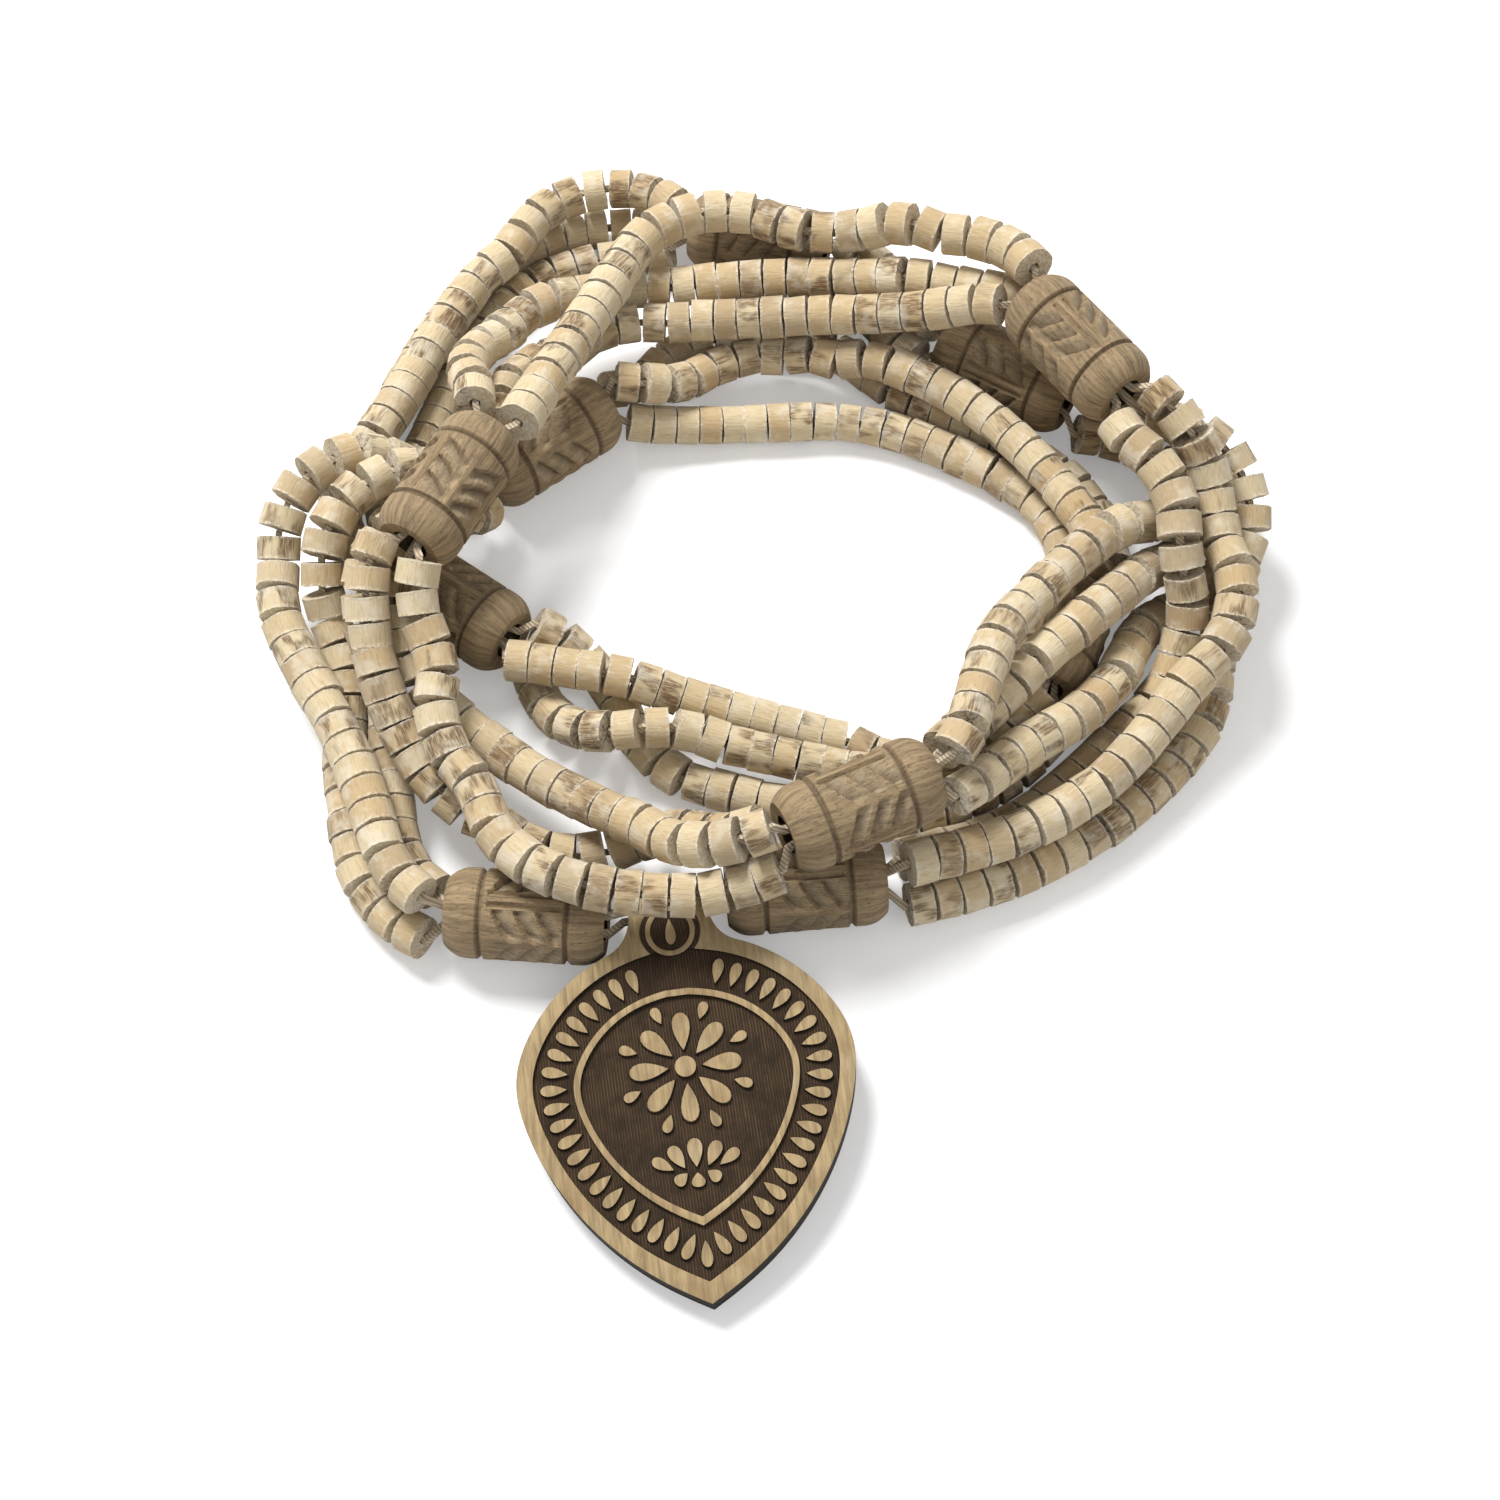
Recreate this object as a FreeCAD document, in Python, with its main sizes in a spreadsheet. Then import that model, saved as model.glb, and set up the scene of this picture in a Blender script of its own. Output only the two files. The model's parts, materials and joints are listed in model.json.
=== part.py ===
import FreeCAD, Part
import math
import os

import Sketcher

# A three-strand necklace of wooden prayer beads, laid down in a coil of three turns.
# Ten turned barrels gather the strands, and a carved leaf-shaped pendant hangs between the first and the last.
# Frame: millimetres, +Z up, standing on Z = 0 with the origin under the middle of the coil and its pendant.

Vector = FreeCAD.Vector

SIZES = [
    ("disc_diameter", 5.2, "disc bead, across its corners"),
    ("disc_step", 0.25, "how much larger or smaller the sorted discs are"),
    ("disc_thickness", 2.65, "disc bead, face to face"),
    ("disc_gap", 0.08, "between neighbouring discs on a straight run"),
    ("disc_bore", 1.4, "square bore of a disc, across its flats"),
    ("thread_width", 0.7, "side of the waxed thread"),
    ("barrel_length", 17.6, "barrel bead, end to end"),
    ("barrel_diameter", 10.0, "barrel bead at its middle"),
    ("barrel_end_diameter", 7.6, "flat end of a barrel"),
    ("barrel_bore", 4.4, "bore that takes the three threads"),
    ("barrel_cap", 3.9, "from a barrel's end to its ring groove"),
    ("groove_width", 0.9, "ring groove, along the barrel"),
    ("groove_depth", 0.45, "ring groove, into the barrel"),
    ("mouth_gap", 1.3, "between a barrel's end and the first discs"),
    ("strand_clearance", 0.2, "between strands that lie on each other"),
    ("pendant_width", 37.2, "pendant across its widest part"),
    ("pendant_length", 43.4, "from the bore of its tab to its tip"),
    ("pendant_thickness", 3.4, "pendant plate"),
    ("pendant_shoulder", 3.5, "from the bore of its tab down to the shoulders"),
    ("tab_width", 10.0, "tab between the two nearest barrels"),
    ("tab_reach", 3.2, "tab above its bore"),
    ("tab_bore", 3.5, "bore across the tab"),
    ("rim_width", 1.8, "raised rim round the pendant"),
    ("carving_depth", 0.5, "sunken ground of the carving"),
    ("border_width", 4.4, "petal border between the rim and the inner leaf"),
    ("inner_line", 0.75, "raised line of the inner leaf"),
]

# Places of the ten barrels along the threads: middle (x, y, z), heading in degrees and
# the angle of the first thread round the barrel's axis, measured from its right-hand side.
BARRELS = [
    ((-24.4, -23.4, 5.2), 176.0, 90.0),
    ((-24.9, 39.3, 6.2), 38.0, 210.0),
    ((37.0, 13.5, 5.2), -110.0, 90.0),
    ((-34.9, 16.3, 6.0), 144.0, 150.0),
    ((1.3, 71.0, 6.0), -14.0, 90.0),
    ((31.9, 50.4, 5.4), -31.0, 90.0),
    ((11.7, -14.8, 15.4), -155.0, 90.0),
    ((-34.3, 24.0, 18.4), 62.0, 150.0),
    ((38.7, 44.3, 18.2), -54.0, 120.0),
    ((6.1, -19.7, 5.2), 185.5, 90.0),
]

PENDANT_PLACE = (-9.0, -22.6, 5.2)
PENDANT_HEADING = 7.0
PENDANT_ROLL = 3.0

# Route of each strand in millimetres, as it lies: (thread at its first barrel, thread at its last
# barrel, size of its discs, points between the two barrels).
ROUTES = [
    {
        "a": (0, 0, 0, [(-34, -18, 7), (-37, -14, 7), (-40, -9, 7), (-42, -5, 7), (-44, -2, 8), (-46, 2, 8),
                        (-49, 6, 6), (-50, 11, 3), (-50, 16, 3), (-50, 20, 5), (-50, 24, 9), (-47, 28, 12),
                        (-43, 31, 13), (-38, 32, 9)]),
        "b": (2, 1, 0, [(-36, -24, 4), (-40, -19, 5), (-43, -14, 5), (-45, -10, 4), (-46, -6, 3), (-47, -2, 3),
                        (-47, 2, 3), (-46, 6, 4), (-46, 10, 7), (-46, 14, 9), (-46, 19, 11), (-45, 23, 14),
                        (-41, 28, 14), (-37, 31, 12)]),
        "c": (1, 2, -1, [(-36, -19, 3), (-40, -14, 3), (-42, -9, 3), (-42, -4, 3), (-42, 1, 3), (-43, 6, 3),
                         (-43, 10, 6), (-43, 14, 10), (-43, 18, 13), (-41, 22, 14), (-37, 26, 12), (-33, 29, 8)]),
    },
    {
        "a": (0, 2, -1, [(-15, 50, 6), (-10, 54, 4), (-5, 56, 3), (0, 57, 3), (6, 57, 3), (12, 56, 3),
                         (18, 53, 3), (23, 49, 3), (28, 45, 3), (33, 42, 3), (38, 36, 3), (41, 29, 3)]),
        "b": (1, 0, -1, [(-14, 46, 7), (-9, 48, 7), (-4, 51, 6), (2, 52, 5), (9, 52, 5), (16, 51, 6),
                         (23, 48, 6), (29, 44, 6), (33, 40, 6), (37, 34, 7), (39, 28, 8)]),
        "c": (2, 1, -1, [(-14, 43, 3), (-8, 44, 3), (-2, 44, 3), (4, 45, 3), (10, 46, 3), (16, 46, 3),
                         (21, 44, 3), (26, 41, 3), (31, 37, 3), (34, 32, 3), (36, 27, 3)]),
    },
    {
        "a": (1, 0, -1, [(29, 1, 4), (22, -2, 3), (16, -2, 3), (11, -1, 3), (6, 0, 3), (1, 1, 4), (-4, 2, 5),
                         (-9, 3, 6), (-14, 4, 7), (-19, 7, 8), (-24, 10, 8)]),
        "b": (0, 2, -1, [(29, -2, 4), (23, -5, 3), (15, -6, 3), (6, -4, 3), (-1, -3, 3), (-8, -1, 3),
                         (-14, 2, 4), (-20, 4, 4), (-26, 8, 4)]),
        "c": (2, 1, -1, [(30, -4, 3), (23, -9, 3), (14, -11, 3), (6, -9, 3), (-1, -6, 3), (-6, -4, 3),
                         (-12, -1, 3), (-18, 4, 3), (-24, 9, 3)]),
    },
    {
        "a": (0, 0, 0, [(-46, 28, 6), (-46, 33, 6), (-45, 38, 6), (-44, 43, 6), (-42, 48, 7), (-40, 53, 7),
                        (-38, 58, 7), (-35, 63, 7), (-31, 68, 7), (-26, 71, 7), (-21, 73, 7), (-16, 76, 8),
                        (-11, 77, 9)]),
        "b": (1, 1, -1, [(-44, 29, 4), (-42, 35, 3), (-40, 41, 3), (-39, 47, 3), (-37, 53, 3), (-35, 59, 3),
                         (-32, 64, 3), (-28, 68, 3), (-23, 70, 3), (-18, 71, 3), (-12, 71, 4)]),
        "c": (2, 2, -1, [(-47, 26, 3), (-47, 32, 3), (-46, 38, 3), (-45, 44, 3), (-43, 50, 3), (-41, 56, 3),
                         (-38, 62, 3), (-34, 67, 3), (-28, 72, 3), (-22, 74, 3), (-16, 76, 3), (-10, 76, 4)]),
    },
    {
        "a": (0, 0, 0, [(15, 65, 8), (20, 60, 8)]),
        "b": (1, 1, 0, [(14, 62, 4), (19, 57, 4)]),
        "c": (2, 2, 0, [(17, 67, 4), (22, 61, 4)]),
    },
    {
        "a": (0, 0, 0, [(46, 44, 7), (50, 42, 8), (53, 39, 8), (53, 35, 8), (50, 31, 8), (46, 28, 9), (42, 24, 11),
                        (38, 18, 12), (34, 14, 13), (30, 9, 14), (27, 4, 15), (24, -1, 16), (21, -5, 17)]),
        "b": (1, 1, 0, [(44, 42, 4), (48, 40, 3), (51, 36, 3), (52, 32, 3), (51, 27, 4), (48, 22, 6), (45, 19, 9),
                        (40, 13, 11), (36, 9, 12), (32, 4, 13), (27, 0, 14), (23, -5, 14)]),
        "c": (2, 2, 0, [(45, 45, 4), (50, 44, 3), (54, 41, 3), (56, 36, 3), (57, 30, 3), (56, 23, 3), (53, 18, 4),
                        (48, 15, 5), (43, 10, 7), (39, 6, 9), (35, 1, 11), (30, -3, 12), (25, -7, 14)]),
    },
    {
        "a": (0, 2, 0, [(1, -21, 16), (-4, -20, 14), (-9, -17, 11), (-14, -14, 9), (-19, -11, 7), (-24, -8, 6),
                        (-29, -4, 6), (-34, 0, 6), (-38, 3, 7), (-40, 7, 9), (-40, 11, 12)]),
        "b": (2, 1, 0, [(2, -22, 13), (-3, -23, 12), (-9, -24, 12), (-15, -24, 13), (-20, -24, 13), (-24, -22, 13),
                        (-27, -18, 12), (-29, -14, 12), (-31, -9, 12), (-34, -4, 12), (-35, 2, 12), (-35, 6, 13),
                        (-36, 10, 15)]),
        "c": (1, 0, 0, [(1, -16, 15), (-4, -16, 14), (-9, -14, 10), (-13, -15, 6), (-18, -16, 4), (-23, -14, 4),
                        (-29, -12, 4), (-34, -11, 6), (-38, -7, 8), (-40, -3, 8), (-42, 2, 9), (-42, 7, 11),
                        (-42, 11, 14)]),
    },
    {
        "a": (1, 0, 1, [(-26, 36, 20), (-24, 41, 20), (-22, 45, 20), (-20, 50, 19), (-17, 56, 18), (-14, 61, 17),
                        (-11, 66, 16), (-7, 69, 16), (-2, 68, 16), (4, 66, 16), (12, 64, 17), (18, 62, 18),
                        (24, 59, 19), (29, 56, 20)]),
        "b": (0, 2, 0, [(-32, 36, 19), (-31, 41, 17), (-29, 46, 15), (-28, 51, 13), (-24, 56, 12), (-19, 59, 11),
                        (-13, 60, 11), (-7, 61, 11), (-1, 62, 11), (5, 62, 11), (12, 61, 12), (19, 59, 13),
                        (26, 56, 15)]),
        "c": (2, 1, 0, [(-29, 36, 14), (-27, 42, 13), (-23, 48, 12), (-18, 53, 11), (-12, 55, 11), (-5, 55, 11),
                        (2, 55, 11), (9, 55, 11), (16, 54, 12), (22, 52, 14), (28, 51, 16)]),
    },
    {
        "a": (0, 0, 0, [(48, 34, 19), (50, 30, 17), (52, 25, 15), (52, 19, 12), (52, 14, 10), (51, 9, 9),
                        (48, 3, 8), (45, -3, 8), (41, -8, 7), (37, -12, 7), (32, -15, 7), (27, -16, 7), (21, -18, 7)]),
        "b": (1, 1, 0, [(43, 31, 17), (45, 26, 14), (46, 21, 12), (47, 16, 9), (48, 11, 6), (46, 6, 4),
                        (43, 1, 3), (39, -4, 3), (35, -8, 3), (29, -12, 3), (21, -15, 3)]),
        "c": (2, 2, 0, [(50, 36, 14), (54, 31, 11), (55, 25, 8), (55, 18, 6), (54, 11, 5), (53, 5, 4),
                        (51, -1, 3), (47, -6, 3), (41, -11, 3), (34, -16, 3), (27, -19, 3), (20, -21, 3)]),
    },
]

SETTLING_STEPS = 110
LENGTH_STEPS = 100
STEPS_PER_SEARCH = 10
SEARCH_MARGIN = 0.9
SINKING = 0.02
EVENNESS = 0.3
HOMING = 0.04
SHARPEST_BEND = 0.48
LEAST_SPARE = 0.5


def make_sheet(document):
    """The sheet of driving sizes, one row each: alias, value and what it measures."""
    sheet = document.addObject("Spreadsheet::Sheet", "sizes")
    for row, (alias, value, note) in enumerate(SIZES, start=1):
        sheet.set(f"A{row}", alias)
        sheet.set(f"B{row}", str(value))
        sheet.set(f"C{row}", note)
        sheet.setAlias(f"B{row}", alias)
    document.recompute()
    return sheet


def read_sizes(sheet):
    return {alias: float(sheet.get(alias)) for alias, _, _ in SIZES}


# ---------------------------------------------------------------- vectors as plain tuples


def plus(a, b, k=1.0):
    return (a[0] + k * b[0], a[1] + k * b[1], a[2] + k * b[2])


def length_between(a, b):
    return math.sqrt((a[0] - b[0]) ** 2 + (a[1] - b[1]) ** 2 + (a[2] - b[2]) ** 2)


def direction(a, b):
    far = length_between(a, b)
    return ((b[0] - a[0]) / far, (b[1] - a[1]) / far, (b[2] - a[2]) / far)


# ---------------------------------------------------------------- where the barrels hold the strands


class Barrel:
    """One barrel's place, its axis along the threads, and where each thread enters and leaves."""

    def __init__(self, number, size):
        self.middle, heading, self.first_angle = BARRELS[number]
        turn = math.radians(heading)
        self.axis = (math.cos(turn), math.sin(turn), 0.0)
        self.side = (self.axis[1], -self.axis[0], 0.0)
        self.half = size["barrel_length"] / 2
        self.size = size

    def spread(self, thread, radius):
        """The step from the axis out to one thread's place round it."""
        angle = math.radians(self.first_angle + (0, -120, 120)[thread])
        level = radius * math.cos(angle)
        return (level * self.side[0], level * self.side[1], radius * math.sin(angle))

    def end(self, way, beyond=0.0):
        """The middle of an end face: way is 1 where the threads leave and -1 where they enter."""
        return plus(self.middle, self.axis, way * (self.half + beyond))

    def strand_end(self, way, thread):
        """Where the centre line of a strand starts, level with its first disc's face."""
        largest = self.size["disc_diameter"] + self.size["disc_step"]
        radius = (largest + self.size["strand_clearance"]) / math.sqrt(3)
        return plus(self.end(way, self.size["mouth_gap"]), self.spread(thread, radius))

    def thread_places(self, thread):
        """Points of a thread through the barrel, from just outside one mouth to the other."""
        near = self.size["barrel_bore"] / 2 - 1.1 * self.size["thread_width"]
        deep = 1.3 * self.size["thread_width"]
        fan = 2.5
        places = []
        for way, beyond, radius in ((-1, 0.2, near), (-1, -fan, deep), (1, -fan, deep), (1, 0.2, near)):
            places.append(plus(self.end(way, beyond), self.spread(thread, radius)))
        return places


# ---------------------------------------------------------------- how the strands lie


class Strand:
    """One strand between two barrels: its discs, and the points between them as it settles."""

    def __init__(self, name, barrels, run, threads, grade, points, size):
        self.name = name
        self.threads = threads
        self.grade = grade
        self.radius = (size["disc_diameter"] + grade * size["disc_step"]) / 2
        self.barrels = (run, run + 1)
        self.pitch = size["disc_thickness"] + size["disc_gap"]
        start = barrels[run].strand_end(1, threads[0])
        finish = barrels[run + 1].strand_end(-1, threads[1])
        self.ends = (start, finish)
        self.ways = (barrels[run].axis, barrels[run + 1].axis)
        self.lay_along(rounded([start] + points + [finish]), 0.0)

    def lay_along(self, curve, bend_room):
        """Spaces the points evenly along the curve, one step for each disc that fits. What is left over
        is shared by the two ends, where the first and the last disc stand a little off their barrels."""
        curve = [self.ends[0]] + list(curve[1:-1]) + [self.ends[1]]
        travel = sum(length_between(a, b) for a, b in zip(curve, curve[1:])) - bend_room
        self.count = int(travel / self.pitch)
        spare = 0.5 * (travel - self.count * self.pitch) if bend_room else 0.0
        start = plus(self.ends[0], self.ways[0], spare)
        finish = plus(self.ends[1], self.ways[1], -spare)
        self.nodes = spaced(curve, self.count)
        self.nodes[0], self.nodes[-1] = list(start), list(finish)
        self.homes = [tuple(node) for node in self.nodes]

    def beyond(self):
        """The points that the thread comes from at the first barrel and goes to at the last one."""
        return plus(self.nodes[0], self.ways[0], -self.pitch), plus(self.nodes[-1], self.ways[1], self.pitch)


def rounded(points, steps=6):
    """A smooth curve through the points, as a close row of places."""
    ends = [points[0]] + list(points) + [points[-1]]
    curve = []
    for p0, p1, p2, p3 in zip(ends, ends[1:], ends[2:], ends[3:]):
        for step in range(steps):
            t = step / steps
            curve.append(tuple(
                0.5 * (2 * b + (c - a) * t + (2 * a - 5 * b + 4 * c - d) * t * t + (3 * b - a - 3 * c + d) * t ** 3)
                for a, b, c, d in zip(p0, p1, p2, p3)))
    curve.append(tuple(float(v) for v in points[-1]))
    return curve


def spaced(curve, count):
    """count + 1 places at equal steps along the curve."""
    travel = [0.0]
    for a, b in zip(curve, curve[1:]):
        travel.append(travel[-1] + length_between(a, b))
    places, k = [], 0
    for i in range(count + 1):
        want = travel[-1] * i / count
        while k < len(curve) - 2 and travel[k + 1] < want:
            k += 1
        part = (want - travel[k]) / (travel[k + 1] - travel[k])
        places.append([a + part * (b - a) for a, b in zip(curve[k], curve[k + 1])])
    return places


def bend_slacks(strand):
    """How far the bend at each point keeps the discs on both sides of it away from the point."""
    slacks = [0.0] * (strand.count + 1)
    for i in range(1, strand.count):
        before = direction(strand.nodes[i - 1], strand.nodes[i])
        after = direction(strand.nodes[i], strand.nodes[i + 1])
        cosine = sum(p * q for p, q in zip(before, after))
        half_turn = math.acos(max(-1.0, min(1.0, cosine))) / 2
        slacks[i] = strand.radius * math.tan(min(half_turn, 0.5))
    return slacks


def rest_lengths(strand, size):
    """The room that each disc takes on the thread, with the spare length shared out evenly."""
    slacks = bend_slacks(strand)
    rooms = [size["disc_thickness"] + a + b for a, b in zip(slacks, slacks[1:])]
    travel = sum(length_between(a, b) for a, b in zip(strand.nodes, strand.nodes[1:]))
    gap = (travel - sum(rooms)) / strand.count
    return [room + gap for room in rooms]


def hold_lengths(strand, rest):
    """Moves the points so that each disc gets its room. The two ends stay put."""
    nodes, last = strand.nodes, strand.count
    for i in range(last):
        a, b = nodes[i], nodes[i + 1]
        share_a = 0.0 if i == 0 else 1.0
        share_b = 0.0 if i == last - 1 else 1.0
        far = length_between(a, b)
        pull = (far - rest[i]) / far / (share_a + share_b) * 0.9
        for k in range(3):
            step = (b[k] - a[k]) * pull
            a[k] += share_a * step
            b[k] -= share_b * step


def even_out(strand):
    """Keeps the strand near the shape of its route, and lets it sink a little."""
    nodes, homes = strand.nodes, strand.homes
    for i in range(1, strand.count):
        a, b, c = nodes[i - 1], nodes[i], nodes[i + 1]
        for k in (0, 1):
            bow = (homes[i - 1][k] + homes[i + 1][k]) / 2 - homes[i][k]
            b[k] += EVENNESS * ((a[k] + c[k]) / 2 - bow - b[k]) + HOMING * (homes[i][k] - b[k])
        b[2] += EVENNESS * ((a[2] + c[2]) / 2 - b[2]) - SINKING


def limit_bends(strand):
    """Straightens the strand wherever it bends more than its discs let it, also at its barrels."""
    before, after = strand.beyond()
    nodes = [before] + strand.nodes + [after]
    last = len(nodes) - 1
    for i in range(1, last):
        a, b, c = nodes[i - 1], nodes[i], nodes[i + 1]
        off = [b[k] - (a[k] + c[k]) / 2 for k in range(3)]
        far = math.sqrt(off[0] ** 2 + off[1] ** 2 + off[2] ** 2)
        most = SHARPEST_BEND if 1 < i < last - 1 else 2 * SHARPEST_BEND
        if far <= most:
            continue
        shares = [1.0 if 1 < n < last - 1 else 0.0 for n in (i - 1, i, i + 1)]
        total = shares[0] / 4 + shares[1] + shares[2] / 4
        if total == 0.0:
            continue
        part = (far - most) / far / total
        for k in range(3):
            if shares[0]:
                a[k] += part / 2 * off[k]
            if shares[1]:
                b[k] -= part * off[k]
            if shares[2]:
                c[k] += part / 2 * off[k]


def beads_of(strands):
    """Two balls for each disc, as (strand, first point, second point) whose middle they sit at."""
    balls = []
    for s, strand in enumerate(strands):
        for i in range(strand.count + 1):
            balls.append((s, i, i))
            if i < strand.count:
                balls.append((s, i, i + 1))
    return balls


def near_pairs(strands, balls, reach):
    """Pairs of balls of different strands that are near enough to touch soon."""
    cells, places = {}, []
    for index, (s, i, j) in enumerate(balls):
        a, b = strands[s].nodes[i], strands[s].nodes[j]
        place = ((a[0] + b[0]) / 2, (a[1] + b[1]) / 2, (a[2] + b[2]) / 2)
        places.append(place)
        cells.setdefault(tuple(int(v // reach) for v in place), []).append(index)
    pairs = []
    around = [(x, y, z) for x in (-1, 0, 1) for y in (-1, 0, 1) for z in (-1, 0, 1)]
    for (cx, cy, cz), members in cells.items():
        for dx, dy, dz in around:
            others = cells.get((cx + dx, cy + dy, cz + dz), ())
            for one in members:
                for two in others:
                    if one < two and balls[one][0] != balls[two][0]:
                        p, q = places[one], places[two]
                        if (p[0] - q[0]) ** 2 + (p[1] - q[1]) ** 2 + (p[2] - q[2]) ** 2 < reach * reach:
                            pairs.append((one, two))
    return pairs


def part_strands(strands, balls, pairs, clearance):
    """Pushes apart the strands that touch."""
    for one, two in pairs:
        s, i, j = balls[one]
        t, k, m = balls[two]
        a, b = strands[s].nodes[i], strands[s].nodes[j]
        c, d = strands[t].nodes[k], strands[t].nodes[m]
        x = (a[0] + b[0] - c[0] - d[0]) / 2
        y = (a[1] + b[1] - c[1] - d[1]) / 2
        z = (a[2] + b[2] - c[2] - d[2]) / 2
        need = strands[s].radius + strands[t].radius + clearance
        square = x * x + y * y + z * z
        if square >= need * need:
            continue
        far = math.sqrt(square) or 1e-6
        push = (need - far) / far / 2
        move(strands[s], i, j, push * x, push * y, push * z)
        move(strands[t], k, m, -push * x, -push * y, -push * z)


def move(strand, i, j, x, y, z):
    for n in {i, j}:
        if 0 < n < strand.count:
            node = strand.nodes[n]
            node[0] += x
            node[1] += y
            node[2] += z


def obstacles_of(barrels, size):
    """The round-ended rods that strands keep clear of: (number, middle, axis, half length, radius)."""
    core = size["barrel_diameter"] / 2
    rods = [(n, barrel.middle, barrel.axis, barrel.half - 0.65 * core, core) for n, barrel in enumerate(barrels)]
    turn = math.radians(PENDANT_HEADING)
    across = (math.cos(turn), math.sin(turn), 0.0)
    thick = math.hypot(size["tab_reach"], size["pendant_thickness"] / 2)
    rods.append((-1, PENDANT_PLACE, across, size["tab_width"] / 2 - 1.0, thick + 0.3))
    root = (PENDANT_PLACE[0], PENDANT_PLACE[1] - size["pendant_shoulder"], PENDANT_PLACE[2] - 1.0)
    rods.append((-1, root, across, size["tab_width"] / 2 + 1.0, size["pendant_thickness"] / 2 + 0.8))
    return rods


def clear_barrels(strands, rods, size):
    """Pushes the strands off the barrels and the pendant's tab that they lie on or under."""
    for strand in strands:
        for number, middle, axis, reach, core in rods:
            need = core + strand.radius + 1.5 * size["strand_clearance"]
            own_start, own_finish = number == strand.barrels[0], number == strand.barrels[1]
            mx, my, mz = middle
            ax, ay, _ = axis
            for i in range(1, strand.count):
                if own_start and i < 4 or own_finish and i > strand.count - 4:
                    continue
                node = strand.nodes[i]
                x, y, z = node[0] - mx, node[1] - my, node[2] - mz
                if abs(x) > 20 or abs(y) > 20 or abs(z) > need:
                    continue
                along = max(-reach, min(reach, x * ax + y * ay))
                x, y = x - along * ax, y - along * ay
                far = math.sqrt(x * x + y * y + z * z)
                if far < need:
                    push = (need - far) / far
                    node[0] += push * x
                    node[1] += push * y
                    node[2] += push * z


def stand_on_floor(strands):
    for strand in strands:
        low = strand.radius + 0.05
        for node in strand.nodes[1:-1]:
            if node[2] < low:
                node[2] = low


def settle(strands, barrels, size):
    """Lays the strands down: each bends softly and rests on what is below it. Then the discs that fit
    are shared out along it and it settles with its length held, twice, as its bends change a little."""
    clearance = size["strand_clearance"]
    widest = size["disc_diameter"] + size["disc_step"] + clearance
    rods = obstacles_of(barrels, size)
    for holding, steps in ((False, SETTLING_STEPS), (True, LENGTH_STEPS), (True, LENGTH_STEPS)):
        if holding:
            for strand in strands:
                strand.lay_along(strand.nodes, 2 * sum(bend_slacks(strand)) + LEAST_SPARE)
        balls = beads_of(strands)
        for step in range(steps):
            if step % STEPS_PER_SEARCH == 0:
                pairs = near_pairs(strands, balls, widest + SEARCH_MARGIN)
                rests = [rest_lengths(strand, size) for strand in strands]
            for strand, rest in zip(strands, rests):
                if not holding or step < steps / 3:
                    even_out(strand)
                limit_bends(strand)
                if holding:
                    hold_lengths(strand, rest)
            part_strands(strands, balls, pairs, clearance)
            clear_barrels(strands, rods, size)
            stand_on_floor(strands)


def lay_strands(barrels, size):
    strands = []
    for run, routes in enumerate(ROUTES):
        for letter, (first, last, grade, points) in routes.items():
            name = f"bead_run_{run + 1}{letter}"
            strands.append(Strand(name, barrels, run, (first, last), grade, points, size))
    settle(strands, barrels, size)
    return strands


# ---------------------------------------------------------------- helpers for bodies and sketches


def origin_plane(body, role):
    return next(f for f in body.Origin.OriginFeatures if f.Role == role)


def new_sketch(body, name, role="XY_Plane"):
    sketch = body.newObject("Sketcher::SketchObject", name)
    sketch.AttachmentSupport = [(origin_plane(body, role), "")]
    sketch.MapMode = "FlatFace"
    return sketch


def closed_loop(sketch, points):
    """Straight lines round the points, joined end to end."""
    first = sketch.GeometryCount
    ring = [Vector(x, y, 0) for x, y in points]
    for a, b in zip(ring, ring[1:] + ring[:1]):
        sketch.addGeometry(Part.LineSegment(a, b), False)
    count = len(ring)
    for i in range(count):
        sketch.addConstraint(Sketcher.Constraint("Coincident", first + i, 2, first + (i + 1) % count, 1))


# ---------------------------------------------------------------- disc beads


def make_disc(document, size, grade, name):
    """The disc bead of one size: an eight-sided disc with a square bore, centred on its own origin."""
    body = document.addObject("PartDesign::Body", name)
    sketch = new_sketch(body, name + "_outline")
    radius = (size["disc_diameter"] + grade * size["disc_step"]) / 2
    corners = [(radius * math.cos(math.pi * k / 4), radius * math.sin(math.pi * k / 4)) for k in range(8)]
    half = size["disc_bore"] / 2
    closed_loop(sketch, corners)
    closed_loop(sketch, [(half, half), (-half, half), (-half, -half), (half, -half)])
    pad = body.newObject("PartDesign::Pad", name + "_pad")
    pad.Profile = sketch
    pad.Midplane = True
    pad.setExpression("Length", "sizes.disc_thickness")
    body.Tip = pad
    document.recompute()
    return body


def thread_discs(document, strand, disc_shape):
    """All discs of a strand, each turned a little further round the thread than the one before."""
    discs = []
    slacks = bend_slacks(strand)
    for i, (a, b) in enumerate(zip(strand.nodes, strand.nodes[1:])):
        along = Vector(*direction(a, b))
        middle = Vector(*a) + along * ((length_between(a, b) + slacks[i] - slacks[i + 1]) / 2)
        turn = FreeCAD.Rotation(Vector(0, 0, 1), along) * FreeCAD.Rotation(Vector(0, 0, 1), 17.0 * i)
        disc = disc_shape.copy()
        disc.Placement = FreeCAD.Placement(middle, turn)
        discs.append(disc)
    feature = document.addObject("Part::Feature", strand.name)
    feature.Shape = Part.makeCompound(discs)
    feature.Label = strand.name
    return feature


# ---------------------------------------------------------------- threads


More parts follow.
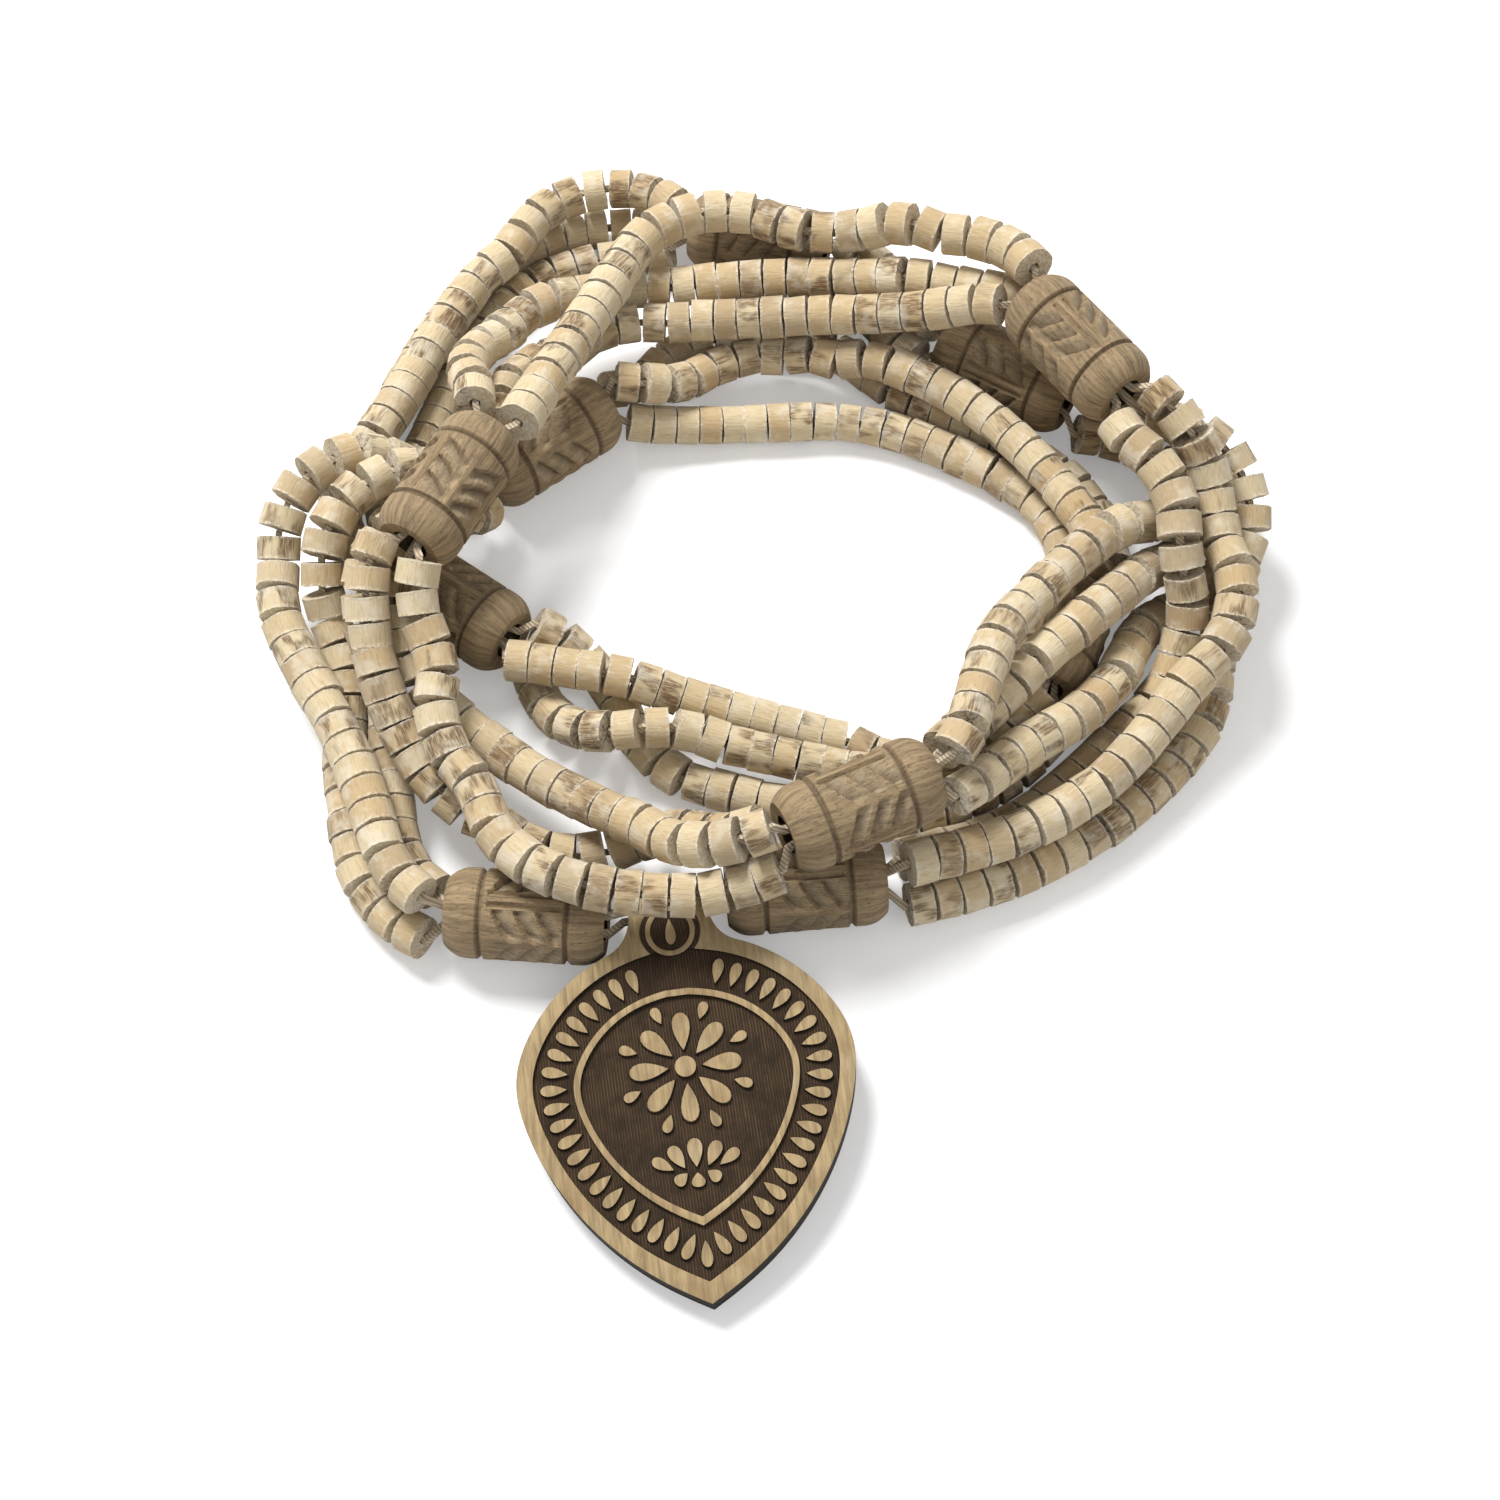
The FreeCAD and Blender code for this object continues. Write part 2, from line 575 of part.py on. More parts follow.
def straightened(points, slack):
    """Drops the points that a straight thread passes closer than slack."""
    kept, start = [points[0]], 0
    for end in range(2, len(points)):
        a, b = points[start], points[end]
        way, far = direction(a, b), length_between(a, b)
        for p in points[start + 1:end]:
            along = sum((p[k] - a[k]) * way[k] for k in range(3))
            off = length_between(p, plus(a, way, along))
            if off > slack or not 0 < along < far:
                kept.append(points[end - 1])
                start = end - 1
                break
    kept.append(points[-1])
    return kept


def thread_solid(points, width):
    """A square thread along the points, mitred at each of them."""
    ways = [Vector(*direction(a, b)) for a, b in zip(points, points[1:])]
    places = [Vector(*p) for p in points]
    side = ways[0].cross(Vector(0, 0, 1)).normalize()
    rise = side.cross(ways[0])
    half = width / 2
    ring = [places[0] + side * (half * x) + rise * (half * y) for x, y in ((1, 1), (-1, 1), (-1, -1), (1, -1))]
    rings = [ring]
    for k in range(1, len(places)):
        way = ways[k - 1]
        normal = way + ways[k] if k < len(ways) else way
        ring = [p + way * ((places[k] - p).dot(normal) / way.dot(normal)) for p in ring]
        rings.append(ring)
    faces = [Part.Face(Part.makePolygon(rings[0] + rings[0][:1]))]
    for low, high in zip(rings, rings[1:]):
        for i in range(4):
            j = (i + 1) % 4
            faces.append(Part.Face(Part.makePolygon([low[i], low[j], high[j], high[i], low[i]])))
    faces.append(Part.Face(Part.makePolygon(rings[-1] + rings[-1][:1])))
    solid = Part.makeSolid(Part.makeShell(faces))
    if solid.Volume < 0:
        solid.reverse()
    return solid


def thread_route(slot, strands, barrels, tab_ends, size):
    """One thread from the pendant's tab, through every barrel and strand, back to the tab."""
    by_run = {}
    for strand in strands:
        by_run[(strand.barrels[0], strand.threads[0])] = strand
    points = [tab_ends[0](slot, 0.15), tab_ends[0](slot, 1.0)]
    for number, barrel in enumerate(barrels):
        points += barrel.thread_places(slot)
        if number + 1 < len(barrels):
            strand = by_run[(number, slot)]
            first = plus(strand.nodes[0], direction(strand.nodes[1], strand.nodes[0]), 0.25 * size["mouth_gap"])
            last = plus(strand.nodes[-1], direction(strand.nodes[-2], strand.nodes[-1]), 0.25 * size["mouth_gap"])
            loose = (size["disc_bore"] / 2 - size["thread_width"] / math.sqrt(2)) / 2
            points += straightened([first] + [tuple(n) for n in strand.nodes[1:-1]] + [last], loose)
            slot = strand.threads[1]
    points += [tab_ends[1](slot, 1.0), tab_ends[1](slot, 0.15)]
    return points


# ---------------------------------------------------------------- barrels


def make_barrel_pattern(document, size):
    """The turned barrel, along X: rounded caps, a ring groove near each end and a bore for three threads."""
    body = document.addObject("PartDesign::Body", "barrel_pattern")
    sketch = new_sketch(body, "barrel_profile")
    half = size["barrel_length"] / 2
    radius = size["barrel_diameter"] / 2
    end = size["barrel_end_diameter"] / 2
    bore = size["barrel_bore"] / 2
    cap = half - size["barrel_cap"]
    wide, deep = size["groove_width"], size["groove_depth"]
    shoulder = radius - 0.25 * (radius - end)
    right = [
        (half, bore), (half, end), (half - 0.35 * size["barrel_cap"], shoulder), (cap, radius - 0.1),
        (cap - wide / 2, radius - deep), (cap - wide, radius),
    ]
    left = [(-x, y) for x, y in reversed(right)]
    closed_loop(sketch, right + left)
    turned = body.newObject("PartDesign::Revolution", "barrel_turned")
    turned.Profile = sketch
    turned.ReferenceAxis = (sketch, ["H_Axis"])
    turned.Angle = 360.0
    body.Tip = turned
    document.recompute()
    return body


def place_barrels(document, pattern, barrels):
    features = []
    for number, barrel in enumerate(barrels, start=1):
        feature = document.addObject("Part::Feature", f"barrel_{number}")
        feature.Shape = pattern.Shape.copy()
        turn = FreeCAD.Rotation(Vector(1, 0, 0), Vector(*barrel.axis))
        feature.Placement = FreeCAD.Placement(Vector(*barrel.middle), turn)
        feature.Label = f"barrel_{number}"
        features.append(feature)
    return features


# ---------------------------------------------------------------- pendant


def leaf_curve(sketch, size, inset):
    """The pendant's leaf shape, set in by inset: two shoulder arcs and two long arcs down to the tip."""
    half = size["pendant_width"] / 2 - inset
    top = -size["pendant_shoulder"] - inset
    tip = -size["pendant_length"] + 1.3 * inset
    drop = top - tip
    widest = top - 0.37 * drop
    neck = 0.10 * half
    crown = Vector(0, top, 0)
    lean = 0.75 * half
    first = sketch.GeometryCount
    tip_point = Vector(0, tip, 0)
    right_wide = Vector(half, widest, 0)
    left_wide = Vector(-half, widest, 0)
    right_bow = Vector(lean, top - 0.69 * drop, 0)
    left_bow = Vector(-lean, top - 0.69 * drop, 0)
    right_top = Vector(0.74 * half, top - 0.145 * drop, 0)
    left_top = Vector(-0.74 * half, top - 0.145 * drop, 0)
    right_neck = Vector(neck, top, 0)
    left_neck = Vector(-neck, top, 0)
    sketch.addGeometry(Part.LineSegment(left_neck, right_neck), False)
    sketch.addGeometry(Part.Arc(right_neck, right_top, right_wide), False)
    sketch.addGeometry(Part.Arc(right_wide, right_bow, tip_point), False)
    sketch.addGeometry(Part.Arc(tip_point, left_bow, left_wide), False)
    sketch.addGeometry(Part.Arc(left_wide, left_top, left_neck), False)
    return first


def make_pendant(document, size):
    """The pendant: a leaf-shaped plate with a tab, a bore across the tab and sunken carving grounds."""
    body = document.addObject("PartDesign::Body", "pendant")
    plate = new_sketch(body, "pendant_outline")
    leaf_curve(plate, size, 0.0)
    pad = body.newObject("PartDesign::Pad", "pendant_plate")
    pad.Profile = plate
    pad.Midplane = True
    pad.setExpression("Length", "sizes.pendant_thickness")
    document.recompute()
    tab = new_sketch(body, "tab_outline")
    half = size["tab_width"] / 2
    reach, root = size["tab_reach"], -size["pendant_shoulder"] - 3.0
    closed_loop(tab, [(half - 1.2, reach), (half, reach - 1.2), (half, root), (-half, root),
                      (-half, reach - 1.2), (-half + 1.2, reach)])
    ear = body.newObject("PartDesign::Pad", "pendant_tab")
    ear.Profile = tab
    ear.Midplane = True
    ear.setExpression("Length", "sizes.pendant_thickness")
    document.recompute()
    for name, outer, inner in (
        ("border_ground", size["rim_width"], size["rim_width"] + size["border_width"]),
        ("inner_ground", size["rim_width"] + size["border_width"] + size["inner_line"], None),
    ):
        ground = new_sketch(body, name + "_outline")
        ground.AttachmentOffset = FreeCAD.Placement(Vector(0, 0, size["pendant_thickness"] / 2), FreeCAD.Rotation())
        ground.setExpression("AttachmentOffset.Base.z", "sizes.pendant_thickness / 2")
        leaf_curve(ground, size, outer)
        if inner is not None:
            leaf_curve(ground, size, inner)
        pocket = body.newObject("PartDesign::Pocket", name)
        pocket.Profile = ground
        pocket.setExpression("Length", "sizes.carving_depth")
        document.recompute()
    hole = new_sketch(body, "tab_bore_outline", "YZ_Plane")
    hole.addGeometry(Part.Circle(Vector(0, 0, 0), Vector(0, 0, 1), size["tab_bore"] / 2), False)
    hole.addConstraint(Sketcher.Constraint("Coincident", 0, 3, -1, 1))
    hole.addConstraint(Sketcher.Constraint("Diameter", 0, size["tab_bore"]))
    hole.setExpression("Constraints[1]", "sizes.tab_bore")
    bore = body.newObject("PartDesign::Pocket", "tab_bore_cut")
    bore.Profile = hole
    bore.Type = "ThroughAll"
    bore.Midplane = True
    body.Tip = bore
    document.recompute()
    return body


def pendant_placement(size):
    """The pendant hangs at its tab between two barrels, and its tip rests on the ground."""
    place = Vector(*PENDANT_PLACE)
    drop = place.z - size["pendant_thickness"] / 2 * 1.02
    pitch = math.degrees(math.asin(drop / size["pendant_length"]))
    heading = FreeCAD.Rotation(Vector(0, 0, 1), PENDANT_HEADING)
    roll = FreeCAD.Rotation(Vector(0, 1, 0), -PENDANT_ROLL)
    return FreeCAD.Placement(place, heading * FreeCAD.Rotation(Vector(1, 0, 0), pitch) * roll)


def tab_thread_places(size, placement):
    """Functions that give a thread's place by the tab, on the side of the first and of the last barrel."""
    across = placement.Rotation.multVec(Vector(-1, 0, 0))
    middle = placement.Base

    def place_on(way):
        def place(slot, part):
            angle = math.radians((90, -30, 210)[slot])
            side = across.cross(Vector(0, 0, 1)).normalize()
            radius = 1.1 * size["thread_width"]
            out = side * (radius * math.cos(angle)) + Vector(0, 0, radius * math.sin(angle))
            p = middle + across * (way * part * size["tab_width"] / 2) + out
            return (p.x, p.y, p.z)
        return place

    return place_on(1), place_on(-1)


# ---------------------------------------------------------------- the necklace


def check(document, subparts):
    for item in document.Objects:
        if "Invalid" in item.State or "Error" in item.State:
            raise RuntimeError(f"{item.Name} failed: {item.State}")
    for part in subparts:
        if part.Shape.isNull() or not part.Shape.isValid():
            raise RuntimeError(f"{part.Label} has no valid shape")


def main():
    document = FreeCAD.newDocument("prayer_beads")
    sheet = make_sheet(document)
    size = read_sizes(sheet)
    barrels = [Barrel(number, size) for number in range(len(BARRELS))]
    strands = lay_strands(barrels, size)

    grades = {-1: "disc_small", 0: "disc_middle", 1: "disc_large"}
    discs = {grade: make_disc(document, size, grade, name) for grade, name in grades.items()}
    subparts = [thread_discs(document, strand, discs[strand.grade].Shape) for strand in strands]

    pendant = make_pendant(document, size)
    pendant.Placement = pendant_placement(size)
    tab_ends = tab_thread_places(size, pendant.Placement)
    for slot in range(3):
        thread = document.addObject("Part::Feature", f"thread_{slot + 1}")
        route = thread_route(slot, strands, barrels, tab_ends, size)
        thread.Shape = thread_solid(route, size["thread_width"])
        thread.Label = f"thread_{slot + 1}"
        subparts.append(thread)

    subparts += place_barrels(document, make_barrel_pattern(document, size), barrels)
    subparts.append(pendant)
    document.recompute()

    box = FreeCAD.BoundBox()
    for part in subparts:
        box.add(part.Shape.BoundBox)
    shift = Vector(-box.Center.x, -box.Center.y, -box.ZMin)
    for part in subparts:
        placement = part.Placement
        placement.Base = placement.Base + shift
        part.Placement = placement
    document.recompute()
    check(document, subparts)

    os.makedirs("parts", exist_ok=True)
    for part in subparts:
        part.Shape.exportStep(f"parts/{part.Label}.step")
    print("discs", sum(strand.count for strand in strands))
    for number, barrel in enumerate(barrels, start=1):
        place = Vector(*barrel.middle) + shift
        print(f"barrel_{number}", place.x, place.y, place.z, *barrel.axis)
    across = pendant.Placement.Rotation.multVec(Vector(-1, 0, 0))
    place = pendant.Placement.Base
    print("pendant_pivot", place.x, place.y, place.z, across.x, across.y, across.z)
    down = pendant.Placement.Rotation.multVec(Vector(0, 0, -1))
    place = pendant.Placement.multVec(Vector(0, -0.6 * size["pendant_length"], -size["pendant_thickness"] / 2))
    print("pendant_back", place.x, place.y, place.z, down.x, down.y, down.z)


main()
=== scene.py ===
import json
import math
import random

import bmesh
import bpy
import numpy as np
from bpy.props import FloatProperty, FloatVectorProperty, IntProperty, PointerProperty
from mathutils import Matrix, Vector


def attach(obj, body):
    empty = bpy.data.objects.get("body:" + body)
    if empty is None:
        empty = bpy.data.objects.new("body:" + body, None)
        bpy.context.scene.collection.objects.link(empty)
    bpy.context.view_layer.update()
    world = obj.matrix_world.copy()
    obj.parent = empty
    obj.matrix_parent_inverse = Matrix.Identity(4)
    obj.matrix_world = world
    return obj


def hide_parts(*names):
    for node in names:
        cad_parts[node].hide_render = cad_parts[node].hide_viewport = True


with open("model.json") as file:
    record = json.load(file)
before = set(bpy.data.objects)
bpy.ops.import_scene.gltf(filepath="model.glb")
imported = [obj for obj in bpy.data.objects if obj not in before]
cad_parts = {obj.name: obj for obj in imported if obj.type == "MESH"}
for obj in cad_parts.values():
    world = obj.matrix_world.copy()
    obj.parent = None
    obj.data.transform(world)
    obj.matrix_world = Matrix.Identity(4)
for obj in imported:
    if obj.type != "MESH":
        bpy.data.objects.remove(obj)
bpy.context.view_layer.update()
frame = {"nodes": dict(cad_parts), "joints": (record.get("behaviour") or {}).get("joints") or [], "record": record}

bl_info = {
    "name": "Carved prayer bead necklace",
    "version": (1, 0, 0),
    "blender": (4, 5, 0),
    "location": "3D View > Sidebar > Necklace",
    "description": "Dresses a three-strand wooden necklace with disc beads, carved barrels "
                   "and a leaf pendant",
    "category": "Object",
}

JOINTS = {joint["name"]: joint for joint in frame["joints"]}
STRANDS = sorted(name for name in frame["nodes"] if name.startswith("bead_run_"))
THREADS = sorted(name for name in frame["nodes"] if name.startswith("thread_"))
BARRELS = sorted((name for name in frame["nodes"] if name.startswith("barrel_")),
                 key=lambda name: int(name.removeprefix("barrel_")))
MM = 0.001


# ---------------------------------------------------------------- settings


def size_mm(name, description, default):
    return FloatProperty(name=name, description=description, default=default,
                         min=0.0, max=400.0, precision=3)


def colour(name, description, default):
    return FloatVectorProperty(name=name, description=description, subtype="COLOR", size=3,
                               default=default, min=0.0, max=1.0)


class DiscSettings(bpy.types.PropertyGroup):
    sides: IntProperty(name="Sides", description="Facets round a disc's rim",
                       default=14, min=8, max=24)
    softness: size_mm("Rim softness", "Width of the worn edge of a disc, in millimetres", 0.22)
    fill: FloatProperty(name="Fill", description="Disc thickness against the solid one",
                        default=1.0, min=0.8, max=1.1)
    unevenness: FloatProperty(name="Unevenness", description="How much the discs differ in width",
                              default=0.055)
    tilt: FloatProperty(name="Tilt", description="How far a disc may lean on its thread",
                        subtype="ANGLE", default=math.radians(4.5))
    pale: colour("Pale wood", "Sapwood of the discs", (0.62, 0.515, 0.335))
    warm: colour("Warm wood", "Warmer discs", (0.47, 0.335, 0.175))
    bark: colour("Brown streaks", "Heartwood streaks across some discs", (0.135, 0.075, 0.032))
    fibres: IntProperty(name="Fibres", description="Loose fibres on each disc",
                        default=10, min=0, max=20)
    seed: IntProperty(name="Seed", description="Another mix of discs", default=7)


class BarrelSettings(bpy.types.PropertyGroup):
    turns: IntProperty(name="Motifs", description="Carved leaves round a barrel",
                       default=3, min=2, max=6)
    cut_depth: size_mm("Cut depth", "Deepest chisel cut, in millimetres", 0.95)
    steps_round: IntProperty(name="Steps round", description="Facets round a barrel",
                             default=112, min=24, max=200)
    wood: colour("Barrel wood", "Surface of the barrels", (0.285, 0.205, 0.115))
    # Pale dust in the cuts, together with a painted highlight on their sloped floors.
    dust_and_highlight: colour("Dusty cuts and painted highlight", "Dry fibres and a painted highlight in the chisel cuts", (0.44, 0.36, 0.245))
    # Besides dark grain in the pores, this colour paints shade into the ring grooves and the deeper chisel cuts.
    shade: colour("Dark grain", "Dark grain in the pores, and painted shade in the ring grooves and cuts", (0.085, 0.055, 0.032))


class PendantSettings(bpy.types.PropertyGroup):
    petals: IntProperty(name="Petals", description="Petals in the border",
                        default=43, min=20, max=60)
    relief: size_mm("Relief", "Height of the raised carving, in millimetres", 0.48)
    pale: colour("Pale wood", "Uncarved surface of the pendant", (0.335, 0.245, 0.128))
    burnt: colour("Burnt ground", "Ground burnt by the engraving", (0.026, 0.0155, 0.008))
    edge: colour("Burnt edge", "Charred side of the plate", (0.018, 0.015, 0.013))


class StudioSettings(bpy.types.PropertyGroup):
    elevation: FloatProperty(name="Elevation", description="Camera height above the horizon",
                             subtype="ANGLE", default=math.radians(62.0))
    distance: FloatProperty(name="Distance", description="From the camera to the middle of the view",
                            unit="LENGTH", default=0.27)
    lens: FloatProperty(name="Lens", description="Focal length in millimetres", default=55.7)
    key: FloatProperty(name="Lamps", description="Power that both lamps are scaled by, in watts",
                       default=1.75)
    world: FloatProperty(name="Sky", description="Strength of the even light", default=0.45)


GROUPS = (
    ("necklace_discs", DiscSettings),
    ("necklace_barrels", BarrelSettings),
    ("necklace_pendant", PendantSettings),
    ("necklace_studio", StudioSettings),
)


# ---------------------------------------------------------------- shader maths


DULL = 0.25
DARK_GRAIN = (0.37, 0.245, 0.12)
GREYED_DISC = (0.36, 0.265, 0.16)
DUST = (0.70, 0.64, 0.52)
FRAYED_RIM = (0.86, 0.80, 0.67)
PLY_BROWN = (0.235, 0.150, 0.070)
PLY_BRIGHT = (0.50, 0.41, 0.26)
COTTON_FOLD = (0.34, 0.26, 0.17)
COTTON_BACK = (0.62, 0.53, 0.39)
PAPER = (0.78, 0.78, 0.78)
PAPER_GRAIN = (0.81, 0.81, 0.81)
PAPER_GLOW = 0.25


def times(shade, part):
    """A lighter or darker shade of a colour."""
    return tuple(value * part for value in shade)


class Wire:
    """A socket of a material's tree, on which plain arithmetic adds Math nodes."""

    def __init__(self, tree, socket):
        self.tree = tree
        self.socket = socket

    def __add__(self, other):
        return self.tree.maths("ADD", self, other)

    def __sub__(self, other):
        return self.tree.maths("SUBTRACT", self, other)

    def __rsub__(self, other):
        return self.tree.maths("SUBTRACT", other, self)

    def __mul__(self, other):
        return self.tree.maths("MULTIPLY", self, other)

    def __pow__(self, power):
        return self.tree.maths("POWER", self, power)

    def between(self, low, high):
        """0 below low, 1 above high and smooth in between."""
        return self.tree.add("ShaderNodeMapRange", {"interpolation_type": "SMOOTHSTEP"},
                             {"Value": self, "From Min": low, "From Max": high})


class Finish:
    """A material and the nodes in it."""

    def __init__(self, name):
        self.material = bpy.data.materials.new(name)
        self.material.use_nodes = True
        self.nodes = self.material.node_tree.nodes
        self.links = self.material.node_tree.links
        self.shader = self.nodes["Principled BSDF"]

    def put(self, socket, value):
        if isinstance(value, Wire):
            self.links.new(value.socket, socket)
        elif isinstance(value, (tuple, list)) and len(value) == 3 and socket.type == "RGBA":
            socket.default_value = (*value, 1.0)
        else:
            socket.default_value = value

    def add(self, kind, settings=None, inputs=None, output=0):
        node = self.nodes.new(kind)
        for key, value in (settings or {}).items():
            setattr(node, key, value)
        for key, value in (inputs or {}).items():
            self.put(node.inputs[key], value)
        return Wire(self, node.outputs[output])

    def maths(self, operation, *values):
        return self.add("ShaderNodeMath", {"operation": operation}, dict(enumerate(values)))

    def mix(self, part, first, second):
        """The first colour where part is 0 or less, and the second where it is 1 or more."""
        return self.add("ShaderNodeMix", {"data_type": "RGBA"},
                        {0: part, 6: first, 7: second}, output=2)

    def noise(self, where, scale, detail=3.0, roughness=0.6, distortion=0.0):
        return self.add("ShaderNodeTexNoise", {}, {
            "Vector": where, "Scale": scale, "Detail": detail, "Roughness": roughness,
            "Distortion": distortion})

    def point(self):
        """The place on the object, in metres."""
        return self.add("ShaderNodeTexCoord", output="Object")

    def facing(self, way):
        """How far the surface faces the way given, from -1 to 1."""
        normal = self.add("ShaderNodeTexCoord", output="Normal")
        return self.add("ShaderNodeVectorMath", {"operation": "DOT_PRODUCT"},
                        {0: normal, 1: tuple(way)}, output="Value")

    def unrolled(self):
        return self.add("ShaderNodeUVMap", {"uv_map": "unrolled"})

    def split(self, kind, value):
        separate = self.nodes.new(kind)
        self.put(separate.inputs[0], value)
        return [Wire(self, socket) for socket in separate.outputs]

    def stain(self, name):
        """The three parts of a colour attribute."""
        return self.split("ShaderNodeSeparateColor",
                          self.add("ShaderNodeAttribute", {"attribute_name": name}, output="Color"))

    def parts(self, vector):
        return self.split("ShaderNodeSeparateXYZ", vector)

    def joined(self, x, y, z):
        return self.add("ShaderNodeCombineXYZ", {}, {0: x, 1: y, 2: z})

    def finish(self, colour, roughness, height=None, depth=0.2, strength=0.6, sheen=0.0):
        """The finished material; height is a relief of the given depth in millimetres."""
        self.put(self.shader.inputs["Base Color"], colour)
        self.put(self.shader.inputs["Roughness"], roughness)
        self.put(self.shader.inputs["Specular IOR Level"], DULL)
        self.put(self.shader.inputs["Sheen Weight"], sheen)
        if height is not None:
            bump = self.add("ShaderNodeBump", {}, {
                "Height": height, "Distance": depth * MM, "Strength": strength})
            self.put(self.shader.inputs["Normal"], bump)
        return self.material


def disc_wood(s):
    """Pale limewood with the grain along the thread, brown streaks and frayed pale rims."""
    f = Finish("disc_wood")
    tone, offset, streaky = f.stain("disc_stain")
    u, v, _ = f.parts(f.unrolled())
    grain = f.noise(f.joined(u * 8.0 + offset * 53.0, v * 0.20 + offset * 11.0, tone * 31.0),
                    4.2, 5.0, 0.62, 0.15)
    fine = f.noise(f.joined(u * 20.0 + offset * 17.0, v * 0.40, offset * 3.0), 4.0, 4.0, 0.7)
    base = f.mix(tone * 0.85 + grain * 0.55 - 0.30, tuple(s.pale), tuple(s.warm))
    base = f.mix(fine.between(0.46, 0.68) * 0.50, base, DARK_GRAIN)
    patches = f.noise(f.joined(u * 3.1 + offset * 91.0, v * 0.22, offset * 7.0), 2.4, 2.0, 0.5)
    brown = patches.between(0.45, 0.58) * streaky.between(0.52, 0.72) * fine.between(0.25, 0.60)
    base = f.mix(brown * 0.9, base, tuple(s.bark))
    base = f.mix(offset.between(0.70, 0.95) * 0.55, base, GREYED_DISC)
    dusty = f.noise(f.point(), 330.0, 3.0, 0.6).between(0.50, 0.68)
    base = f.mix(dusty * 0.45, base, DUST)
    rim = f.maths("ABSOLUTE", v).between(0.33, 0.5)
    frayed = rim * f.noise(f.point(), 2600.0, 3.0, 0.7).between(0.38, 0.62)
    base = f.mix(frayed * 0.55, base, FRAYED_RIM)
    height = grain * 0.5 + fine * 0.7 + frayed * 0.5
    return f.finish(base, 0.86, height, 0.22, 0.75, 0.15)


def barrel_wood(s):
    """Brown-grey wood with long grain, painted shade in the ring grooves and cuts, and dry pale fibres with a
    painted highlight in the cuts.
    """
    f = Finish("barrel_wood")
    depth, slope, ring = f.stain("carving")
    u, v, _ = f.parts(f.unrolled())
    offset = f.noise(f.point(), 30.0, 0.0)
    grain = f.noise(f.joined(u * 22.0 + offset * 2.0, v * 0.07, 0.3), 3.0, 6.0, 0.68, 0.2)
    fine = f.noise(f.joined(u * 60.0, v * 0.30, 4.0), 4.0, 3.0, 0.7)
    pores = f.noise(f.joined(u * 80.0, v * 0.45, 1.0), 3.0, 2.0, 0.5).between(0.58, 0.72)
    base = f.mix(grain.between(0.32, 0.70), times(s.wood, 1.30), times(s.wood, 0.62))
    fibres_and_highlight = slope.between(0.15, 0.7) * fine.between(0.3, 0.7)
    # Pale dry fibres in the cuts, with a painted highlight on the sloped floors of the cuts.
    base = f.mix(fibres_and_highlight * 0.75, base, tuple(s.dust_and_highlight))
    base = f.mix(pores * 0.55, base, tuple(s.shade))
    # Painted shade: darkens the ring grooves, and the chisel cuts by the square of their depth.
    base = f.mix(ring * 0.62 + depth ** 2.0 * 0.60, base, tuple(s.shade))
    height = grain * 0.7 + fine * 0.6 - pores * 0.5
    return f.finish(base, 0.74, height, 0.22, 0.7, 0.05)


def pendant_wood(s, origin, turn):
    """Plywood whose ground is burnt wherever it lies below the face, with charred sides."""
    f = Finish("pendant_wood")
    place = f.add("ShaderNodeMapping", {"vector_type": "TEXTURE"}, {
        "Vector": f.point(), "Location": tuple(origin), "Rotation": tuple(turn.to_euler())})
    x, y, z = f.parts(place)
    face_height = THICKNESS / 2 * MM
    facing = f.facing(turn.col[2])
    drop_y = y - DROP_MIDDLE * MM
    from_drop = f.maths("SQRT", x * x + drop_y * drop_y)
    in_ring = 1 - from_drop.between(3.25 * MM, 3.40 * MM)
    low = 1 - z.between(face_height - 0.28 * MM, face_height - 0.10 * MM)
    painted = in_ring * (1 - z.between(face_height + 0.04 * MM, face_height + 0.08 * MM))
    sunk = f.maths("MAXIMUM", low, painted) * facing.between(0.0, 0.4)
    wall = 1 - f.maths("ABSOLUTE", facing).between(0.30, 0.62)
    grain = f.noise(f.joined(x * 1100.0, y * 110.0, 0.7), 1.6, 5.0, 0.65, 0.4)
    cloud = f.noise(place, 260.0, 3.0, 0.6)
    face = f.mix(grain.between(0.34, 0.70), times(s.pale, 1.25), times(s.pale, 0.68))
    face = f.mix(cloud.between(0.42, 0.72) * 0.55, face, PLY_BROWN)
    bright = f.noise(place, 120.0, 2.0, 0.5).between(0.55, 0.75)
    face = f.mix(bright * 0.35, face, PLY_BRIGHT)
    scan = f.add("ShaderNodeTexWave", {"bands_direction": "X"}, {
        "Vector": f.joined(x + y * 0.03, y * 0.05, 0.0), "Scale": 980.0, "Distortion": 1.8,
        "Detail": 2.0, "Detail Scale": 3.0}, output="Fac")
    patch = f.noise(place, 420.0, 3.0, 0.6)
    ash = scan * 0.6 * patch.between(0.30, 0.65) + grain * 0.22
    ground = f.mix(ash, tuple(s.burnt), times(s.burnt, 4.6))
    colour = f.mix(wall, f.mix(sunk, face, ground), tuple(s.edge))
    height = grain * 0.35 + scan * sunk
    return f.finish(colour, 0.72, height, 0.25, 0.7)


def thread_cotton():
    """Twisted cotton of the three threads."""
    f = Finish("thread_cotton")
    twist = f.add("ShaderNodeTexWave", {"bands_direction": "DIAGONAL"}, {
        "Vector": f.point(), "Scale": 900.0, "Distortion": 1.0}, output="Fac")
    return f.finish(f.mix(twist, COTTON_FOLD, COTTON_BACK), 0.9, twist, 0.1, 0.6, 0.2)


